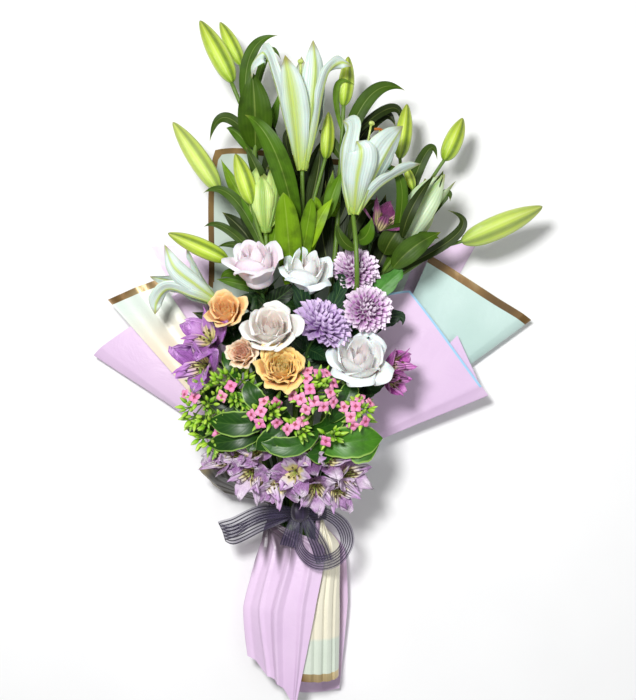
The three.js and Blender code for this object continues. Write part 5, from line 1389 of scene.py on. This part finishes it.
def paper(name, paint, pleats, wave, across=60, along=120, crisp=0.5, creases=(),
          tint=None, band="end"):
    """A sheet from its table; band says which of its edges the coloured band follows."""
    table = np.array([cross_row(row) for row in SHEETS[name]], float)
    columns = np.stack([fine(column, along, crisp) for column in table.transpose(1, 0, 2)], 1)
    p = np.stack([fine(row, across, crisp) for row in columns])
    if creases:
        p = creased(p, creases)
    steps = np.linalg.norm(np.diff(p, axis=0), axis=-1)
    none = np.zeros((1, across + 1))
    edge = np.concatenate([np.cumsum(steps[::-1], 0)[::-1], none])
    if band == "both ends":
        edge = np.minimum(edge, np.concatenate([none, np.cumsum(steps, 0)]))
    if band == "round":
        rim = Curve(p[-1]).at(np.linspace(0, 1, 500))
        edge = [1.35 * np.linalg.norm(row[:, None] - rim, axis=-1).min(1) for row in p]
    seed = PAPER_SEED + list(SHEETS).index(name)
    phase = np.random.default_rng(seed).uniform(0, math.tau, 6)
    u = np.linspace(0, 1, across + 1)[None]
    v = np.linspace(0, 1, along + 1)[:, None]
    near = pleats * np.exp(-((p[..., 1] / 60) ** 2))
    far = wave * (1 - np.exp(-((p[..., 1] / 90) ** 2)))
    turns = lambda a, b, k: np.sin(math.tau * (a * u + b * v) + phase[k])
    ripple = near * (turns(7, 0, 0) + 0.5 * turns(13, 0, 1))
    ripple = ripple + far * (turns(1.3, 0.6, 2) * np.sin(math.pi * u) + 0.35 * turns(3.1, -1.7, 3))
    p = p + normals(p) * ripple[..., None]
    p[..., 2] = np.maximum(p[..., 2], 0.3)
    skin = Skin()
    skin.patch(p, edge=edge, tone=tint(p, np.array(edge)) if tint else 0.3)
    piece(name, skin, [paint])


def gathered(p, edge):
    """Where the paper is gathered under the bow it is in the shade and darker."""
    x, y = p[..., 0], p[..., 1]
    reach = -62 + 9 * np.sin(0.42 * x) + 5 * np.sin(0.19 * x + 1)
    shade = smooth(y, reach, reach + 30) * (1 - smooth(y, 10, 26))
    return 0.9 * shade * (1 - 0.5 * smooth(x, -14, 8))


def creamy(p, edge):
    """The handle's tail is cream to just above its end, the far half mint."""
    y = p[..., 1]
    return mix(0.5, 1, smooth(y, -144, -141)) * smooth(y, 60, 20)


paper("paper_back_pink", PINK_PAPER, 0.6, 1)
paper("paper_top_mint", TOP_PAPER, 0.5, 1.5, band="round")
paper("paper_left_pink", HANDLE_PAPER, 0.8, 1.2, 120, tint=gathered, creases=[
    (0.27, -0.12, 2, 0.03), (0.43, -0.03, 6, 0.05), (0.55, 0.06, 2.5, 0.03),
    (0.73, -0.02, 7, 0.045), (0.86, 0.05, 3, 0.035),
])
paper("paper_right_mint", MINT_PAPER, 0.7, 1.2, 120, 140, tint=creamy,
      band="both ends",
      creases=[(0.45, 0.03, 2, 0.05), (0.66, 0, 2.4, 0.05), (0.84, -0.04, 2, 0.05)])
paper("paper_right_pink", PINK_EDGED, 0.5, 0.8, 120, crisp=0.85)
paper("paper_left_cream", CREAM_PAPER, 0.4, 1.5,
      tint=lambda p, edge: smooth(edge, 15, 90))
# Painted shade: the collar stays near black except within about 18 mm of its outer edge, where it
# lightens towards tan.
paper("paper_collar_cream", COLLAR_PAPER_IN_SHADE, 0.3, 0.8, crisp=0.8,
      tint=lambda p, edge: 0.9 * smooth(edge, 18, 4))

# The tie band and the ribbon
BAND_RADIUS, BAND_HALF = 24.0, 7.2
angle = np.linspace(0, math.tau, 120, endpoint=False)
t = np.linspace(-1, 1, 22)[:, None]
wrinkle = 0.5 * np.sin(9 * math.pi * t + 0.6 * np.sin(3 * angle))
wrinkle = wrinkle + 0.25 * np.sin(17 * t + 5 * angle)
radius = BAND_RADIUS + 0.5 * wrinkle + 0.3 * (1 - t**2)
x, z = (radius + NECK) * np.cos(angle), TIE_HEIGHT + radius * np.sin(angle)
band = Skin()
band.patch(np.stack([x, BAND_HALF * t + 0 * x, z], -1), ring=True, u=(t + 1) / 2 + 0 * angle)
piece("tie_band", band, [KNOT_CLOTH])


def strip(skin, route, width, facings, along=90, loose=0, pucker=0.8):
    """A length of ribbon, gathered at its ends, or only at its start where it is loose."""
    t = np.linspace(0, 1, along + 1)
    line, over = Curve(route).at(t), unit(straight(unit(facings), t))
    gather = mix(0.34, 1, np.sin(math.pi * mix(t, t / 2, loose)) ** 0.6)
    s = np.linspace(-1, 1, 15)
    p = line[:, None] + over[:, None] * (s * (gather * width / 2)[:, None])[..., None]
    folds = np.sin(7 * s) * (1 - gather)[:, None] + 0.35 * np.sin(3 * s + 9 * t[:, None])
    skin.patch(p + normals(p) * (pucker * folds)[..., None])


LEFT_LOOP, RIGHT_LOOP, RIGHT_TAIL, LEFT_TAIL = RIBBON["route"]
bow = Skin()
strip(bow, LEFT_LOOP, 27, [[0.1, 1, 0.3], [-0.3, 0.9, 0.5], [0, 1, 0.2]], pucker=1.4)
ROUND = [[0, 1, 0.3], [0.8, 0.5, 0.4], [0.1, -1, 0.5], [-0.9, 0, 0.5]]
strip(bow, RIGHT_LOOP, 19, ROUND, 120, pucker=1)
strip(bow, RIGHT_TAIL, 20, [[1, 0.2, 0], [1, 0.3, 0.1]], 40, 1)
strip(bow, LEFT_TAIL, 18, [[1, 0, 0], [1, -0.2, 0.1]], 40, 1)
bow_piece = piece("ribbon_bow", bow, [SHEER])
knot = Skin()
knot_shape = [[2, -13], [6, -11], [9.4, -7], [10.4, 0], [9, 6], [5, 11], [2, 13]]
knot.spindle(around([4, 6, 72], [0, 1, 0]), knot_shape, 24, 36, 0.12)
knot_piece = piece("ribbon_knot", knot, [KNOT_CLOTH], replaces=False)


# Stage: a pale floor, soft light and the camera over the bouquet
def placed(name, data, location):
    obj = bpy.data.objects.new(name, data)
    obj.location = Vector(location)
    bpy.context.scene.collection.objects.link(obj)
    return obj


def area_light(name, place, target, size, power, tint=(1, 1, 1)):
    light = bpy.data.lights.new(name, "AREA")
    light.shape = "DISK"
    light.size, light.energy, light.color = size, power, tint
    obj = placed(name, light, place)
    obj.rotation_mode = "QUATERNION"
    obj.rotation_quaternion = (Vector(target) - Vector(place)).to_track_quat("-Z", "Y")


HALF, FLOOR_Z = 4.0, -0.0005
corners = [(x, y, FLOOR_Z) for x, y in ((-HALF, -HALF), (HALF, -HALF), (HALF, HALF), (-HALF, HALF))]
mesh = bpy.data.meshes.new("floor")
mesh.from_pydata(corners, [], [(0, 1, 2, 3)])
paint = Paint("floor", Roughness=0.8)
paint.feed(paint.shader, "Base Color", paint.ramp(paint.noise(6.0, 2.0), "0.3 f4f4f4, 0.7 f8f8f8"))
mesh.materials.append(paint.material)
placed("floor", mesh, (0, 0, 0))

centre = TIE + vec(0.02, 0.19, 0.06)
area_light("key", centre + vec(-0.3, 0.4, 1.6), centre, 0.3, 27)
area_light("fill", centre + vec(0.7, -0.4, 1.8), centre, 1.2, 6, (0.96, 0.98, 1.0))
world = bpy.data.worlds.new("studio")
world.use_nodes = True
background = world.node_tree.nodes["Background"].inputs
background["Color"].default_value, background["Strength"].default_value = (1, 1, 1, 1), 0.27
bpy.context.scene.world = world
bpy.context.scene.view_settings.view_transform = "Standard"

camera = bpy.data.cameras.new("camera")
LENS, SENSOR = 74.34, 36
camera.lens, camera.sensor_width, camera.sensor_fit = LENS, SENSOR, "AUTO"
bpy.context.scene.camera = placed("camera", camera, TIE + vec(*CAMERA) * MM)

bpy.context.view_layer.update()
